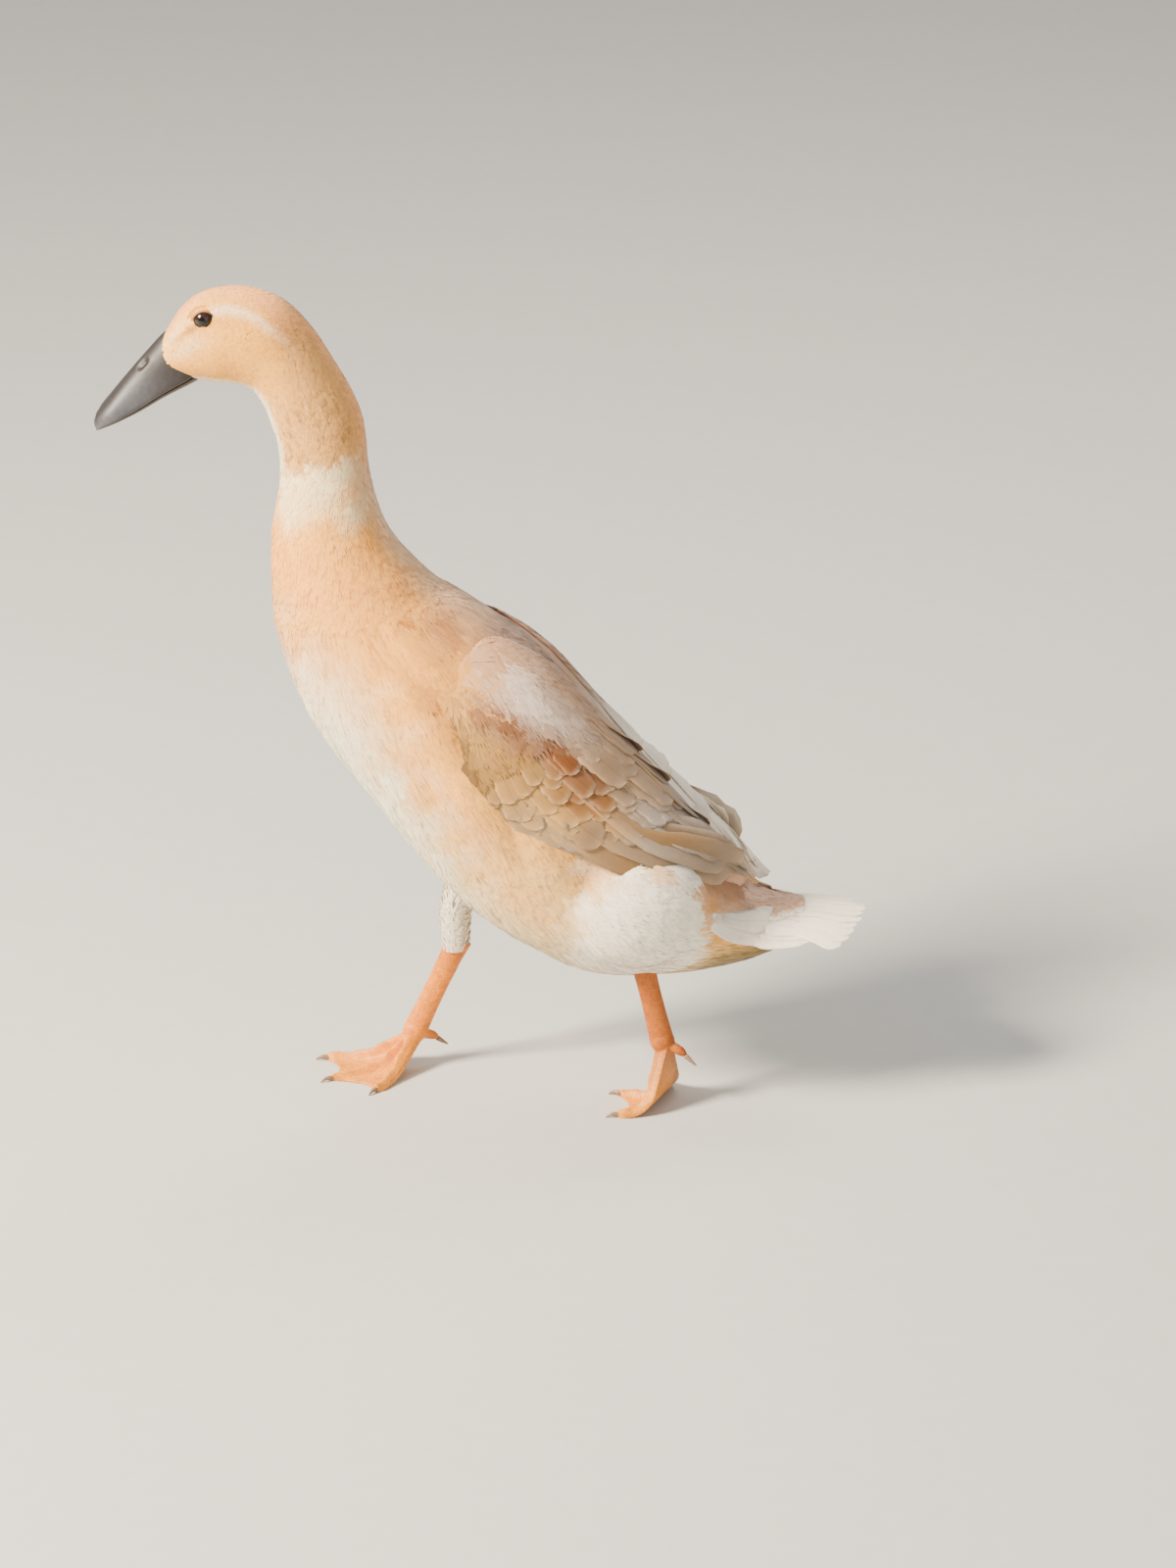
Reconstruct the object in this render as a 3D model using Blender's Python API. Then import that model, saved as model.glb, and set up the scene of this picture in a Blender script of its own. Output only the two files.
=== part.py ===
"""An indian runner duck in mid stride, life size, as named closed solids.

The duck faces -Y, its left side is towards +X, and it stands on z = 0. Sizes are in
millimetres until a mesh is made. Every solid reaches out to the tips of the feathers.
"""

import math

import bmesh
import bpy
import numpy as np

MM = 0.001              # metres in one millimetre
GAP = 0.3               # clearance between neighbouring solids
ORIGIN = (0.3, 2.4, 0.0)                           # middle of the whole outline, on the floor

# The body is one run of cross-sections from the root of the bill to the root of the tail.
# Each is an ellipse that stands across the spine: how far back its middle lies, how high,
# how many degrees its top leans back, its half depth, its half width, and the share of the
# half depth by which its widest level lies above the middle.
BODY_SECTIONS = (
    (-169.0, 426.5, -26.0, 10.5, 11.0, -0.05),     # front of the face
    (-162.0, 431.0, -22.0, 15.7, 14.0, -0.10),
    (-153.5, 436.4, -16.0, 22.0, 17.0, -0.12),     # forehead
    (-144.7, 439.7, -8.0, 25.6, 19.0, -0.12),      # eyes
    (-133.8, 441.0, -1.0, 26.9, 20.0, -0.12),      # crown
    (-123.7, 439.4, 8.0, 27.3, 20.5, -0.10),
    (-113.7, 434.5, 18.0, 27.0, 20.5, -0.05),
    (-105.4, 425.1, 31.0, 25.6, 20.5, 0.0),        # nape
    (-98.1, 413.2, 46.0, 24.0, 20.5, 0.0),
    (-87.0, 387.7, 68.0, 24.6, 21.0, 0.0),         # upper neck
    (-84.3, 360.0, 87.0, 24.8, 22.5, 0.0),
    (-81.4, 329.1, 90.0, 32.5, 30.0, 0.0),
    (-69.0, 296.3, 85.0, 45.5, 42.0, 0.0),         # base of the neck
    (-57.5, 278.5, 80.0, 54.5, 48.0, 0.0),
    (-29.5, 240.3, 75.0, 67.5, 56.0, 0.05),        # shoulders
    (2.8, 198.0, 75.0, 69.6, 59.0, 0.05),
    (38.6, 153.8, 71.0, 69.0, 58.0, 0.05),         # hips
    (58.6, 132.3, 67.0, 65.7, 56.0, 0.05),
    (79.2, 115.2, 63.0, 59.6, 53.0, 0.05),
    (100.2, 101.4, 58.0, 51.7, 48.0, 0.05),
    (122.0, 95.2, 53.0, 39.0, 41.0, 0.10),         # vent
    (142.7, 94.7, 44.0, 28.3, 34.0, 0.10),
    (159.6, 96.3, 36.0, 21.3, 27.0, 0.10),
    (173.6, 99.4, 28.0, 14.5, 20.0, 0.10),         # root of the tail
)
THROAT = 8.4            # section where the head meets the neck
NECK_BASE = 12.6        # section where the neck meets the trunk
RUMP = 20.3             # section where the trunk meets the rump
BODY_SPANS = {          # first section, last section and how many rings
    "head": (0.0, THROAT, 12),
    "neck": (THROAT, NECK_BASE, 8),
    "trunk": (NECK_BASE, RUMP, 12),
    "rump": (RUMP, len(BODY_SECTIONS) - 1.0, 6),
}
AROUND = 24             # corners in each ring

EYE_RADIUS = 6.0
EYE_PLACE = (10.8, -148.0, 452.5)

# The bill's sections: top (back, height), bottom (back, height), half width.
BILL_SECTIONS = (
    (-161.0, 449.0, -147.0, 426.0, 10.5),          # inside the face
    (-171.3, 440.6, -157.5, 419.5, 12.3),
    (-182.7, 428.2, -172.0, 411.0, 12.2),          # nostrils
    (-193.6, 416.4, -185.5, 402.2, 12.8),
    (-202.0, 405.8, -197.0, 395.6, 13.4),          # broad end
    (-207.0, 398.6, -204.0, 391.6, 11.5),
    (-209.3, 392.3, -208.3, 388.0, 6.0),           # nail
)
JAW_DEPTH = 4.0         # lower mandible below the upper one's edge
JAW_NARROWER = 2.2      # and how much narrower it is on each side

# Outline of the folded wing on the body: (section, degrees up from the side) of points
# along its lower and upper edge, from the shoulder to the tip.
WING_LOWER_EDGE = ((13.5, 28.0), (14.1, 2.0), (15.1, -6.0), (15.9, 12.0), (17.4, 43.0), (18.5, 66.0))
WING_UPPER_EDGE = ((13.5, 28.0), (13.5, 66.0), (14.8, 84.0), (16.4, 87.0), (17.8, 87.0), (19.0, 82.0))
WING_TIPS = {"left": 19.6, "right": 20.8}          # sections where the folded tips end
WING_TIP_ANGLE = 81.0
WING_SEAT = 1.0         # space between the wing and the curved body
WING_THICKNESS = (1.5, 4.5, 7.0, 10.0, 12.0, 11.0, 7.0)        # from the shoulder to the tip
WING_RIM = 0.3          # thickness of its two edges as a share of that

# The tail fan.
TAIL_ROOT = 156.0       # how far back it starts, inside the rump
TAIL_TIP = 214.5
TAIL_HEIGHTS = (111.0, 110.5, 106.0)               # middle line at root, half way and tip
TAIL_HALF_WIDTHS = (27.0, 35.0, 41.0)
TAIL_SWEEP = 17.0       # the outer feathers end this much short of the middle ones
TAIL_ARCH = 7.0         # and lie this much lower
TAIL_FEATHERS = 7       # showing tips
TAIL_NOTCH = 7.0        # depth of the notches between the tips
TAIL_THICKNESS = (7.0, 1.4)                        # at the root and the tips

# Each leg: the feathered thigh's middle, its radii (fore and aft, sideways, at the knee), the
# knee below it, the hock and the ball of the foot, and how many degrees the foot turns inwards.
# The sole comes down from the ball at "slope" degrees for "raised" millimetres and then bends
# to the floor at a radius.
LEGS = {
    "left": dict(
        side=1, thigh=(37.0, 86.0, 126.0), radii=(40.0, 29.0, 20.0), knee=(31.0, 93.0, 102.0),
        hock=(28.0, 89.0, 89.0), ball=(26.0, 101.0, 37.5),
        turn=22.0, slope=86.0, raised=24.0, bend=13.0,
    ),
    "right": dict(
        side=-1, thigh=(-38.0, 40.0, 142.0), radii=(38.0, 28.0, 10.5), knee=(-32.0, -10.0, 107.0),
        hock=(-28.0, -16.0, 71.5), ball=(-28.5, -39.0, 21.5),
        turn=26.0, slope=34.0, raised=20.0, bend=32.0,
    ),
}
THIGH_TOP = 5.0         # radius of the thigh's upper end
HOCK_RADIUS = 7.3
SHANK_HALF_DEPTHS = (7.2, 5.7, 5.6, 6.3)           # from hock to ball, fore and aft
SHANK_HALF_WIDTHS = (5.6, 4.0, 4.0, 5.6)
BALL_RADIUS = 7.0
BALL_PAD = 5.0          # sole below the middle of the ball
TOE_LENGTHS = (50.0, 60.0, 56.0)                   # inner, middle, outer
TOE_SPREAD = math.radians(31.0)                    # between neighbouring toes
TOE_HALF_WIDTH = 3.6
TOE_HEIGHTS = (8.0, 3.6)                           # above the sole at the ball and the tip
TOE_EDGE = 0.9          # share of the foot's half width where the outer toes' middles lie
WEB_THICKNESS = 1.3
WEB_HOLLOW = 8.0        # how far the web's edge draws back between the toes
CLAW_LENGTH = 5.5
CLAW_RADIUS = 1.5
HIND_TOE_LENGTH = 15.0
HIND_TOE_RADII = (3.0, 2.8, 2.0)
HIND_TOE_LIFT = 5.0     # how far above the underside of the ball it grows
HIND_TOE_DROP = 5.0     # how much lower its tip is than its root
TOE_TIP_ROUNDING = 6.0  # how far the foot's side edges fall short of the outer toes

FORE_AND_AFT = (0.0, 1.0, 0.0)
UPWARDS = (0.0, 0.0, 1.0)


def linear(hex_colour):
    """The linear colour of an sRGB hex value."""
    values = [int(hex_colour[i:i + 2], 16) / 255 for i in (1, 3, 5)]
    return [v / 12.92 if v <= 0.04045 else ((v + 0.055) / 1.055) ** 2.4 for v in values] + [1.0]


def finish(name, hex_colour, roughness):
    """A plain material of one colour."""
    material = bpy.data.materials.new(name)
    material.use_nodes = True
    shader = material.node_tree.nodes["Principled BSDF"]
    shader.inputs["Base Color"].default_value = linear(hex_colour)
    shader.inputs["Roughness"].default_value = roughness
    shader.inputs["Metallic"].default_value = 0.0
    return material


def through(rows, place):
    """Rows of numbers joined by a smooth curve: a Catmull-Rom spline, read at each place."""
    rows = np.asarray(rows, float)
    if rows.ndim == 1:
        rows = rows[:, None]
    padded = np.vstack((2 * rows[0] - rows[1], rows, 2 * rows[-1] - rows[-2]))
    place = np.clip(np.asarray(place, float), 0.0, len(rows) - 1.0)
    first = np.minimum(place.astype(int), len(rows) - 2)
    t = (place - first)[..., None]
    a, b, c, d = (padded[first + i] for i in range(4))
    curve = 2 * b + (c - a) * t + (2 * a - 5 * b + 4 * c - d) * t**2 + (3 * b - a - 3 * c + d) * t**3
    return 0.5 * curve


def body_point(section, angle):
    """Body surface: the ellipse of a section, read at an angle up from the left side."""
    row = through(BODY_SECTIONS, section)
    back, height, lean, depth, width, widest = np.moveaxis(row, -1, 0)
    lean = np.radians(lean)
    across = width * np.cos(angle)
    up = depth * np.sin(angle) + widest * depth * np.cos(angle) ** 2
    return np.stack((across, back + up * np.sin(lean), height + up * np.cos(lean)), axis=-1)


def body_normal(section, angle):
    """Outward normal of the body surface, from its slopes along and around."""
    step = 0.01
    along = body_point(section + step, angle) - body_point(section - step, angle)
    around = body_point(section, angle + step) - body_point(section, angle - step)
    normal = np.cross(along, around)
    return normal / np.linalg.norm(normal, axis=-1, keepdims=True)


def body_rings(first, last, count, grow=0.0):
    """Grid of body rings between two sections, each moved out by grow."""
    section, angle = np.meshgrid(
        np.linspace(first, last, count), np.arange(AROUND) * 2 * math.pi / AROUND, indexing="ij")
    return body_point(section, angle) + grow * body_normal(section, angle)


def spine_direction(section):
    """Unit direction of the spine at a section, from the bill towards the tail."""
    lean = math.radians(float(through(BODY_SECTIONS, section)[2]))
    return np.array((0.0, math.cos(lean), -math.sin(lean)))


def add_object(name, mesh, material):
    """Put a mesh in the scene as one named node."""
    if material is not None:
        mesh.materials.append(material)
    mesh.shade_smooth()
    mesh.set_sharp_from_angle(angle=math.radians(50))
    node = bpy.data.objects.new(name, mesh)
    bpy.context.scene.collection.objects.link(node)
    return node


def mesh_from(name, points, faces):
    """A mesh in metres whose faces all point outwards."""
    mesh = bpy.data.meshes.new(name)
    mesh.from_pydata(((np.asarray(points) - ORIGIN) * MM).tolist(), [], faces)
    shape = bmesh.new()
    shape.from_mesh(mesh)
    bmesh.ops.recalc_face_normals(shape, faces=shape.faces)
    shape.to_mesh(mesh)
    shape.free()
    return mesh


def add_tube(name, rings, material):
    """A closed solid through a run of rings, with a flat cap on the first and the last."""
    count, around = rings.shape[:2]
    index = np.arange(count * around).reshape(count, around)
    after = np.roll(index, -1, axis=1)
    walls = np.stack((index[:-1], after[:-1], after[1:], index[1:]), axis=-1).reshape(-1, 4)
    faces = walls.tolist() + [index[0].tolist(), index[-1].tolist()]
    return add_object(name, mesh_from(name, rings.reshape(-1, 3), faces), material)


def add_slab(name, upper, lower, material):
    """A closed solid between two grids of points that match one to one."""
    rows, columns = upper.shape[:2]
    top = np.arange(rows * columns).reshape(rows, columns)
    bottom = top + rows * columns

    def quads(a, b, c, d):
        return np.stack((a, b, c, d), axis=-1).reshape(-1, 4)

    sheets = [quads(g[:-1, :-1], g[1:, :-1], g[1:, 1:], g[:-1, 1:]) for g in (top, bottom)]
    rims = [quads(top[i, :-1], top[i, 1:], bottom[i, 1:], bottom[i, :-1]) for i in (0, -1)]
    rims += [quads(top[:-1, j], top[1:, j], bottom[1:, j], bottom[:-1, j]) for j in (0, -1)]
    points = np.vstack((upper.reshape(-1, 3), lower.reshape(-1, 3)))
    faces = np.vstack(sheets + rims).tolist()
    return add_object(name, mesh_from(name, points, faces), material)


def add_ball(name, centre, radius, material):
    """A sphere."""
    mesh = bpy.data.meshes.new(name)
    shape = bmesh.new()
    bmesh.ops.create_uvsphere(shape, u_segments=12, v_segments=8, radius=radius * MM)
    shape.to_mesh(mesh)
    shape.free()
    node = add_object(name, mesh, material)
    node.location = [(value - shift) * MM for value, shift in zip(centre, ORIGIN)]
    return node


def as_cutter(node):
    """Keep a solid out of the model, as a tool for cutting."""
    node.hide_render = True
    node.display_type = "WIRE"
    return node


def cut(node, cutter):
    """Cut one solid out of another."""
    tool = node.modifiers.new("cut by " + cutter.name, "BOOLEAN")
    tool.operation = "DIFFERENCE"
    tool.object = cutter


def path_rings(path, half_depths, half_widths, around, facing, grow=0.0):
    """Rings along a path: ellipses square to it, deep towards facing and wide across it."""
    path = np.array(path, float)
    along = np.gradient(path, axis=0)
    along /= np.linalg.norm(along, axis=1, keepdims=True)
    path[0] -= grow * along[0]
    path[-1] += grow * along[-1]
    wide = np.cross(along, facing)
    wide /= np.linalg.norm(wide, axis=1, keepdims=True)
    deep = np.cross(wide, along)
    angle = np.arange(around) * 2 * math.pi / around
    cosine, sine = np.cos(angle)[None, :, None], np.sin(angle)[None, :, None]
    depths = np.asarray(half_depths, float)[:, None, None] + grow
    widths = np.asarray(half_widths, float)[:, None, None] + grow
    return path[:, None] + deep[:, None] * cosine * depths + wide[:, None] * sine * widths


def make_body(feather):
    """Head, neck, trunk and rump, parted square to the spine."""
    nodes = {}
    for name, (first, last, count) in BODY_SPANS.items():
        rings = body_rings(first, last, count)
        if first > 0.0:
            rings[0] += GAP * spine_direction(first)
        nodes[name] = add_tube(name, rings, feather[name])
    return nodes


def make_rump_cutter():
    """The rump grown by the gap all round and at its end."""
    first, last, count = BODY_SPANS["rump"]
    rings = body_rings(first, last, count, GAP)
    rings[-1] += GAP * spine_direction(last)
    return as_cutter(add_tube("rump_seat", rings, None))


def make_eyes(head, material):
    """Both eyeballs, each in a socket cut a little wider."""
    for side, name in ((1, "eye_left"), (-1, "eye_right")):
        centre = (side * EYE_PLACE[0], EYE_PLACE[1], EYE_PLACE[2])
        add_ball(name, centre, EYE_RADIUS, material)
        cut(head, as_cutter(add_ball(name + "_socket", centre, EYE_RADIUS + GAP, None)))


def bill_rings(grow=0.0):
    """Upper bill: an arch over a flat floor, its crown narrower than its edges."""
    rows = through(BILL_SECTIONS, np.linspace(0, len(BILL_SECTIONS) - 1, 11))
    top, bottom, width = rows[:, 0:2], rows[:, 2:4], rows[:, 4]
    tall = np.linalg.norm(top - bottom, axis=1)
    rise = (top - bottom) / tall[:, None]
    angle = np.arange(16) * 2 * math.pi / 16
    floor = 0.12
    up = np.where(np.sin(angle) > 0, np.sin(angle), floor * np.sin(angle))
    across = (width[:, None] + grow) * np.sign(np.cos(angle)) * np.abs(np.cos(angle)) ** 0.9
    level = up * (tall[:, None] + grow)
    flat = bottom[:, None] + rise[:, None] * level[..., None]
    return np.concatenate((across[..., None], flat), axis=-1)


def jaw_rings(grow=0.0):
    """Lower mandible: a thin trough under the upper bill."""
    rows = through(BILL_SECTIONS, np.linspace(0, len(BILL_SECTIONS) - 1.25, 8))
    top, bottom, width = rows[:, 0:2], rows[:, 2:4], rows[:, 4] - JAW_NARROWER
    rise = (top - bottom) / np.linalg.norm(top - bottom, axis=1, keepdims=True)
    depth = np.linspace(JAW_DEPTH, 0.35 * JAW_DEPTH, len(rows)) + grow
    floor = 0.12 * np.linalg.norm(top - bottom, axis=1) + 2 * GAP
    angle = np.arange(12) * 2 * math.pi / 12
    across = (np.maximum(width, 2.0)[:, None] + grow) * np.cos(angle)
    up = np.where(np.sin(angle) > 0, 0.15, 1.0) * np.sin(angle)
    level = up * depth[:, None] - floor[:, None]
    flat = bottom[:, None] + rise[:, None] * level[..., None]
    return np.concatenate((across[..., None], flat), axis=-1)


def make_bill(head, material):
    """Both halves of the bill, let into the face."""
    for name, shape in (("bill_upper", bill_rings), ("bill_lower", jaw_rings)):
        add_tube(name, shape(), material)
        cut(head, as_cutter(add_tube(name + "_seat", shape(GAP), None)))


def wing_grid(name, grow=0.0):
    """Wing: a patch of the body surface between two edges, its middle thicker than its rim."""
    margin = 0.02 if grow else 0.0
    along, across = np.meshgrid(
        np.linspace(0.05 - margin, 0.97 + margin, 17), np.linspace(-margin, 1 + margin, 10), indexing="ij")
    tip = (WING_TIPS[name], WING_TIP_ANGLE)
    lower = through(WING_LOWER_EDGE + (tip,), along * len(WING_LOWER_EDGE))
    upper = through(WING_UPPER_EDGE + (tip,), along * len(WING_UPPER_EDGE))
    place = lower + (upper - lower) * across[..., None]
    section, angle = place[..., 0], np.radians(place[..., 1])
    if name == "right":
        angle = math.pi - angle
    normal = body_normal(section, angle)
    ground = body_point(section, angle)
    swell = WING_RIM + (1 - WING_RIM) * np.sqrt(np.sin(math.pi * np.clip(across, 0, 1)))
    thickness = through(WING_THICKNESS, along * (len(WING_THICKNESS) - 1))[..., 0] * swell
    outer = ground + normal * (WING_SEAT + thickness + grow)[..., None]
    inner = ground + normal * (WING_SEAT - grow)
    return outer, inner


def make_tail(rump_cutter, material):
    """Tail fan: a thin arched sheet whose rear edge has one point for each feather."""
    along, across = np.meshgrid(
        np.linspace(0, 1, 4), np.linspace(-1, 1, 4 * TAIL_FEATHERS + 1), indexing="ij")
    half_width = through(TAIL_HALF_WIDTHS, along * 2)[..., 0]
    height = through(TAIL_HEIGHTS, along * 2)[..., 0] - TAIL_ARCH * across**2
    notch = TAIL_NOTCH * np.abs(np.cos(math.pi * TAIL_FEATHERS * across / 2)) ** 0.8
    end = TAIL_TIP - TAIL_SWEEP * across**2 - notch
    back = TAIL_ROOT + (end - TAIL_ROOT) * along
    thickness = TAIL_THICKNESS[0] + (TAIL_THICKNESS[1] - TAIL_THICKNESS[0]) * along
    thickness *= 1 - 0.6 * across**2 * (1 - along)
    middle = np.stack((half_width * across, back, height), axis=-1)
    lift = np.stack((0 * along, 0 * along, thickness / 2), axis=-1)
    tail = add_slab("tail", middle + lift, middle - lift, material)
    cut(tail, rump_cutter)


def make_thigh(name, leg, grow, material):
    """Feathered thigh: level rings that swell beside the belly and narrow to the hock."""
    middle, knee, hock = (np.array(leg[key]) for key in ("thigh", "knee", "hock"))
    deep, wide, narrow = leg["radii"]
    top = middle + np.array((0.0, 0.0, 0.92 * deep))
    place = np.linspace(0, 3, 12)
    path = through((top, middle, knee, hock), place)
    path[0, 2] += grow
    path[-1, 2] -= grow
    deeps = through((THIGH_TOP, deep, narrow, HOCK_RADIUS), place) + grow
    wides = through((THIGH_TOP, wide, narrow, HOCK_RADIUS), place) + grow
    angle = np.arange(20) * 2 * math.pi / 20
    ring = np.stack((wides * np.cos(angle), deeps * np.sin(angle), 0 * deeps * angle), axis=-1)
    return add_tube(name, path[:, None] + ring, material)


def make_shank(name, leg, grow, material):
    """Bare shank from inside the hock to the ball of the foot."""
    hock, ball = np.array(leg["hock"]), np.array(leg["ball"])
    start = hock - (ball - hock) * 0.05
    steps = np.linspace(0, 1, 8)
    path = start + (ball - start) * steps[:, None]
    deep = through(SHANK_HALF_DEPTHS, steps * 3)[:, 0]
    wide = through(SHANK_HALF_WIDTHS, steps * 3)[:, 0]
    return add_tube(name, path_rings(path, deep, wide, 12, FORE_AND_AFT, grow), material)


def make_hind_toe(side, leg, ball_cutter, skin, horn):
    """Small raised toe behind the ball of the foot, and its claw."""
    forward, _ = foot_frame(leg)
    start = np.array(leg["ball"]) + np.array((0.0, 0.0, HIND_TOE_LIFT - BALL_RADIUS))
    drop = np.array((0.0, 0.0, -HIND_TOE_DROP))
    steps = np.linspace(0, 1, 5)[:, None]
    path = start - forward * HIND_TOE_LENGTH * steps + drop * steps**2
    radius = through(HIND_TOE_RADII, steps[:, 0] * 2)[:, 0]
    toe = add_tube("hind_toe_" + side, path_rings(path, radius, radius, 10, UPWARDS), skin)
    cut(toe, ball_cutter)
    tip = path[-1] - forward * GAP
    path = tip - forward * CLAW_LENGTH * steps + drop * steps
    radius = CLAW_RADIUS * (1 - 0.75 * steps[:, 0] ** 1.5)
    add_tube(f"claw_{side}_hind", path_rings(path, radius, radius, 8, UPWARDS), horn)


def sole_path(leg, distance):
    """Sole line: down the slope, round the bend and flat along the floor.

    Gives forward distance, height and slope angle at each distance from the ball.
    """
    slope, raised, bend = math.radians(leg["slope"]), leg["raised"], leg["bend"]
    turning = bend * slope
    left = np.clip(slope - (np.maximum(distance - raised, 0.0)) / bend, 0.0, slope)
    forward = np.minimum(distance, raised) * math.cos(slope) + bend * (math.sin(slope) - np.sin(left))
    height = bend * (1 - np.cos(left)) + np.maximum(raised - distance, 0.0) * math.sin(slope)
    forward += np.maximum(distance - raised - turning, 0.0)
    return forward, height, left


def foot_frame(leg):
    """Directions of the foot on the floor: forwards and towards its outer side."""
    turn = math.radians(leg["turn"]) * leg["side"]
    forward = np.array((-math.sin(turn), -math.cos(turn), 0.0))
    outward = np.array((math.cos(turn), -math.sin(turn), 0.0)) * leg["side"]
    return forward, outward


def foot_origin(leg):
    """Point of the floor under the start of the sole."""
    forward, _ = foot_frame(leg)
    behind = BALL_PAD * math.sin(math.radians(leg["slope"]))
    return np.array((leg["ball"][0], leg["ball"][1], 0.0)) - forward * behind


def toe_reach(across):
    """Length of the foot at each place across: pointed at the toes, hollow between them."""
    side = np.clip(np.abs(across) / TOE_EDGE, 0, 1)
    outer = np.where(across > 0, TOE_LENGTHS[2], TOE_LENGTHS[0])
    reach = TOE_LENGTHS[1] + (outer - TOE_LENGTHS[1]) * side
    hollow = WEB_HOLLOW * np.sin(math.pi * side) ** 0.8
    rounding = TOE_TIP_ROUNDING * np.clip((np.abs(across) - TOE_EDGE) / (1 - TOE_EDGE), 0, 1) ** 2
    return reach - hollow - rounding


def foot_points(leg, ahead, lateral, lift):
    """Places on the foot: ahead along the sole line, out to the side and up off the sole."""
    forward, outward = foot_frame(leg)
    run, height, slope = sole_path(leg, ahead)
    run = run + lift * np.sin(slope)
    height = height + lift * np.cos(slope)
    place = foot_origin(leg) + run[..., None] * forward + lateral[..., None] * outward
    place[..., 2] += height
    return place


def make_foot(name, leg, material):
    """Webbed foot: a fan of three toes, ridges on a thin web, bent along the sole line."""
    along, across = np.meshgrid(np.linspace(0, 1, 9), np.linspace(-1, 1, 17), indexing="ij")
    ray = along * toe_reach(across)
    ahead = ray * np.cos(across * TOE_SPREAD)
    lateral = ray * np.sin(across * TOE_SPREAD) + across * TOE_HALF_WIDTH
    ridge = TOE_HEIGHTS[0] + (TOE_HEIGHTS[1] - TOE_HEIGHTS[0]) * ray / TOE_LENGTHS[1] - WEB_THICKNESS
    lift = 0 * ray
    for toe in (-TOE_SPREAD, 0.0, TOE_SPREAD):
        off_toe = lateral * math.cos(toe) - ahead * math.sin(toe)
        lift = np.maximum(lift, ridge * np.exp(-(off_toe / TOE_HALF_WIDTH) ** 2))
    sole = foot_points(leg, ahead, lateral, 0 * ray)
    upper = foot_points(leg, ahead, lateral, lift + WEB_THICKNESS)
    return add_slab(name, upper, sole, material)


def make_claws(side, leg, material):
    """One claw in front of each toe tip."""
    steps = np.linspace(0, 1, 4)
    radius = CLAW_RADIUS * (1 - 0.75 * steps**1.5)
    for toe, label in ((-1, "inner"), (0, "middle"), (1, "outer")):
        ray = TOE_LENGTHS[toe + 1] + 2 * GAP + steps * CLAW_LENGTH
        across = toe * TOE_EDGE
        ahead = ray * math.cos(across * TOE_SPREAD)
        lateral = ray * math.sin(across * TOE_SPREAD) + across * TOE_HALF_WIDTH
        path = foot_points(leg, ahead, lateral, radius)
        add_tube(f"claw_{side}_{label}", path_rings(path, radius, radius, 8, UPWARDS), material)


def make_leg(side, leg, trunk, wing_cutter, white, skin, horn):
    """Thigh, shank, webbed foot, hind toe and claws of one leg."""
    thigh = make_thigh("thigh_" + side, leg, 0.0, white)
    cut(thigh, wing_cutter)
    thigh_cutter = as_cutter(make_thigh(f"thigh_{side}_seat", leg, GAP, None))
    cut(trunk, thigh_cutter)
    ball_cutter = as_cutter(add_ball(f"ball_{side}_seat", leg["ball"], BALL_RADIUS + GAP, None))
    shank = make_shank("shank_" + side, leg, 0.0, skin)
    cut(shank, thigh_cutter)
    cut(shank, ball_cutter)
    cut(trunk, as_cutter(make_shank(f"shank_{side}_seat", leg, GAP, None)))
    foot = make_foot("foot_" + side, leg, skin)
    ball = as_cutter(add_ball(f"ball_{side}_solid", leg["ball"], BALL_RADIUS, None))
    tool = foot.modifiers.new("ball of the foot", "BOOLEAN")
    tool.operation = "UNION"
    tool.object = ball
    make_hind_toe(side, leg, ball_cutter, skin, horn)
    make_claws(side, leg, horn)


def main():
    for old in list(bpy.data.objects):
        bpy.data.objects.remove(old)

    feather = {
        "head": finish("head feathers, fawn", "#D0A373", 0.8),
        "neck": finish("neck feathers, apricot", "#E3BE93", 0.8),
        "trunk": finish("body feathers, cream and buff", "#DDC39C", 0.8),
        "rump": finish("rump feathers, apricot", "#D9B58C", 0.8),
    }
    wing = finish("wing feathers, buff", "#C9A67B", 0.7)
    white = finish("tail and thigh feathers, off-white", "#F0E6D2", 0.8)
    horn = finish("bill, slate grey", "#6B6663", 0.45)
    eye = finish("eye, dark brown", "#1C120C", 0.1)
    leg_skin = finish("leg skin, orange", "#DE8A3C", 0.55)
    claw_horn = finish("claws, horn", "#8C6A4A", 0.5)

    body = make_body(feather)
    make_eyes(body["head"], eye)
    make_bill(body["head"], horn)
    make_tail(make_rump_cutter(), white)
    for name, leg in LEGS.items():
        outer, inner = wing_grid(name)
        add_slab("wing_" + name, outer, inner, wing)
        outer, inner = wing_grid(name, 2 * GAP)
        wing_cutter = as_cutter(add_slab(f"wing_{name}_seat", outer, inner, None))
        make_leg(name, leg, body["trunk"], wing_cutter, white, leg_skin, claw_horn)


main()
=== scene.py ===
"""The looks of an indian runner duck in mid stride: one skin, its coat of feathers, bill, eyes and legs.

Shapes are worked out in millimetres, with the duck facing -Y and its left side towards +X, and
are put into meshes in metres. A place on the body is a section, counted from the bill to the
tail, and an angle, counted up from the left side.
"""

import math

import bpy
import numpy as np
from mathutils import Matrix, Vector, kdtree


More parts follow.
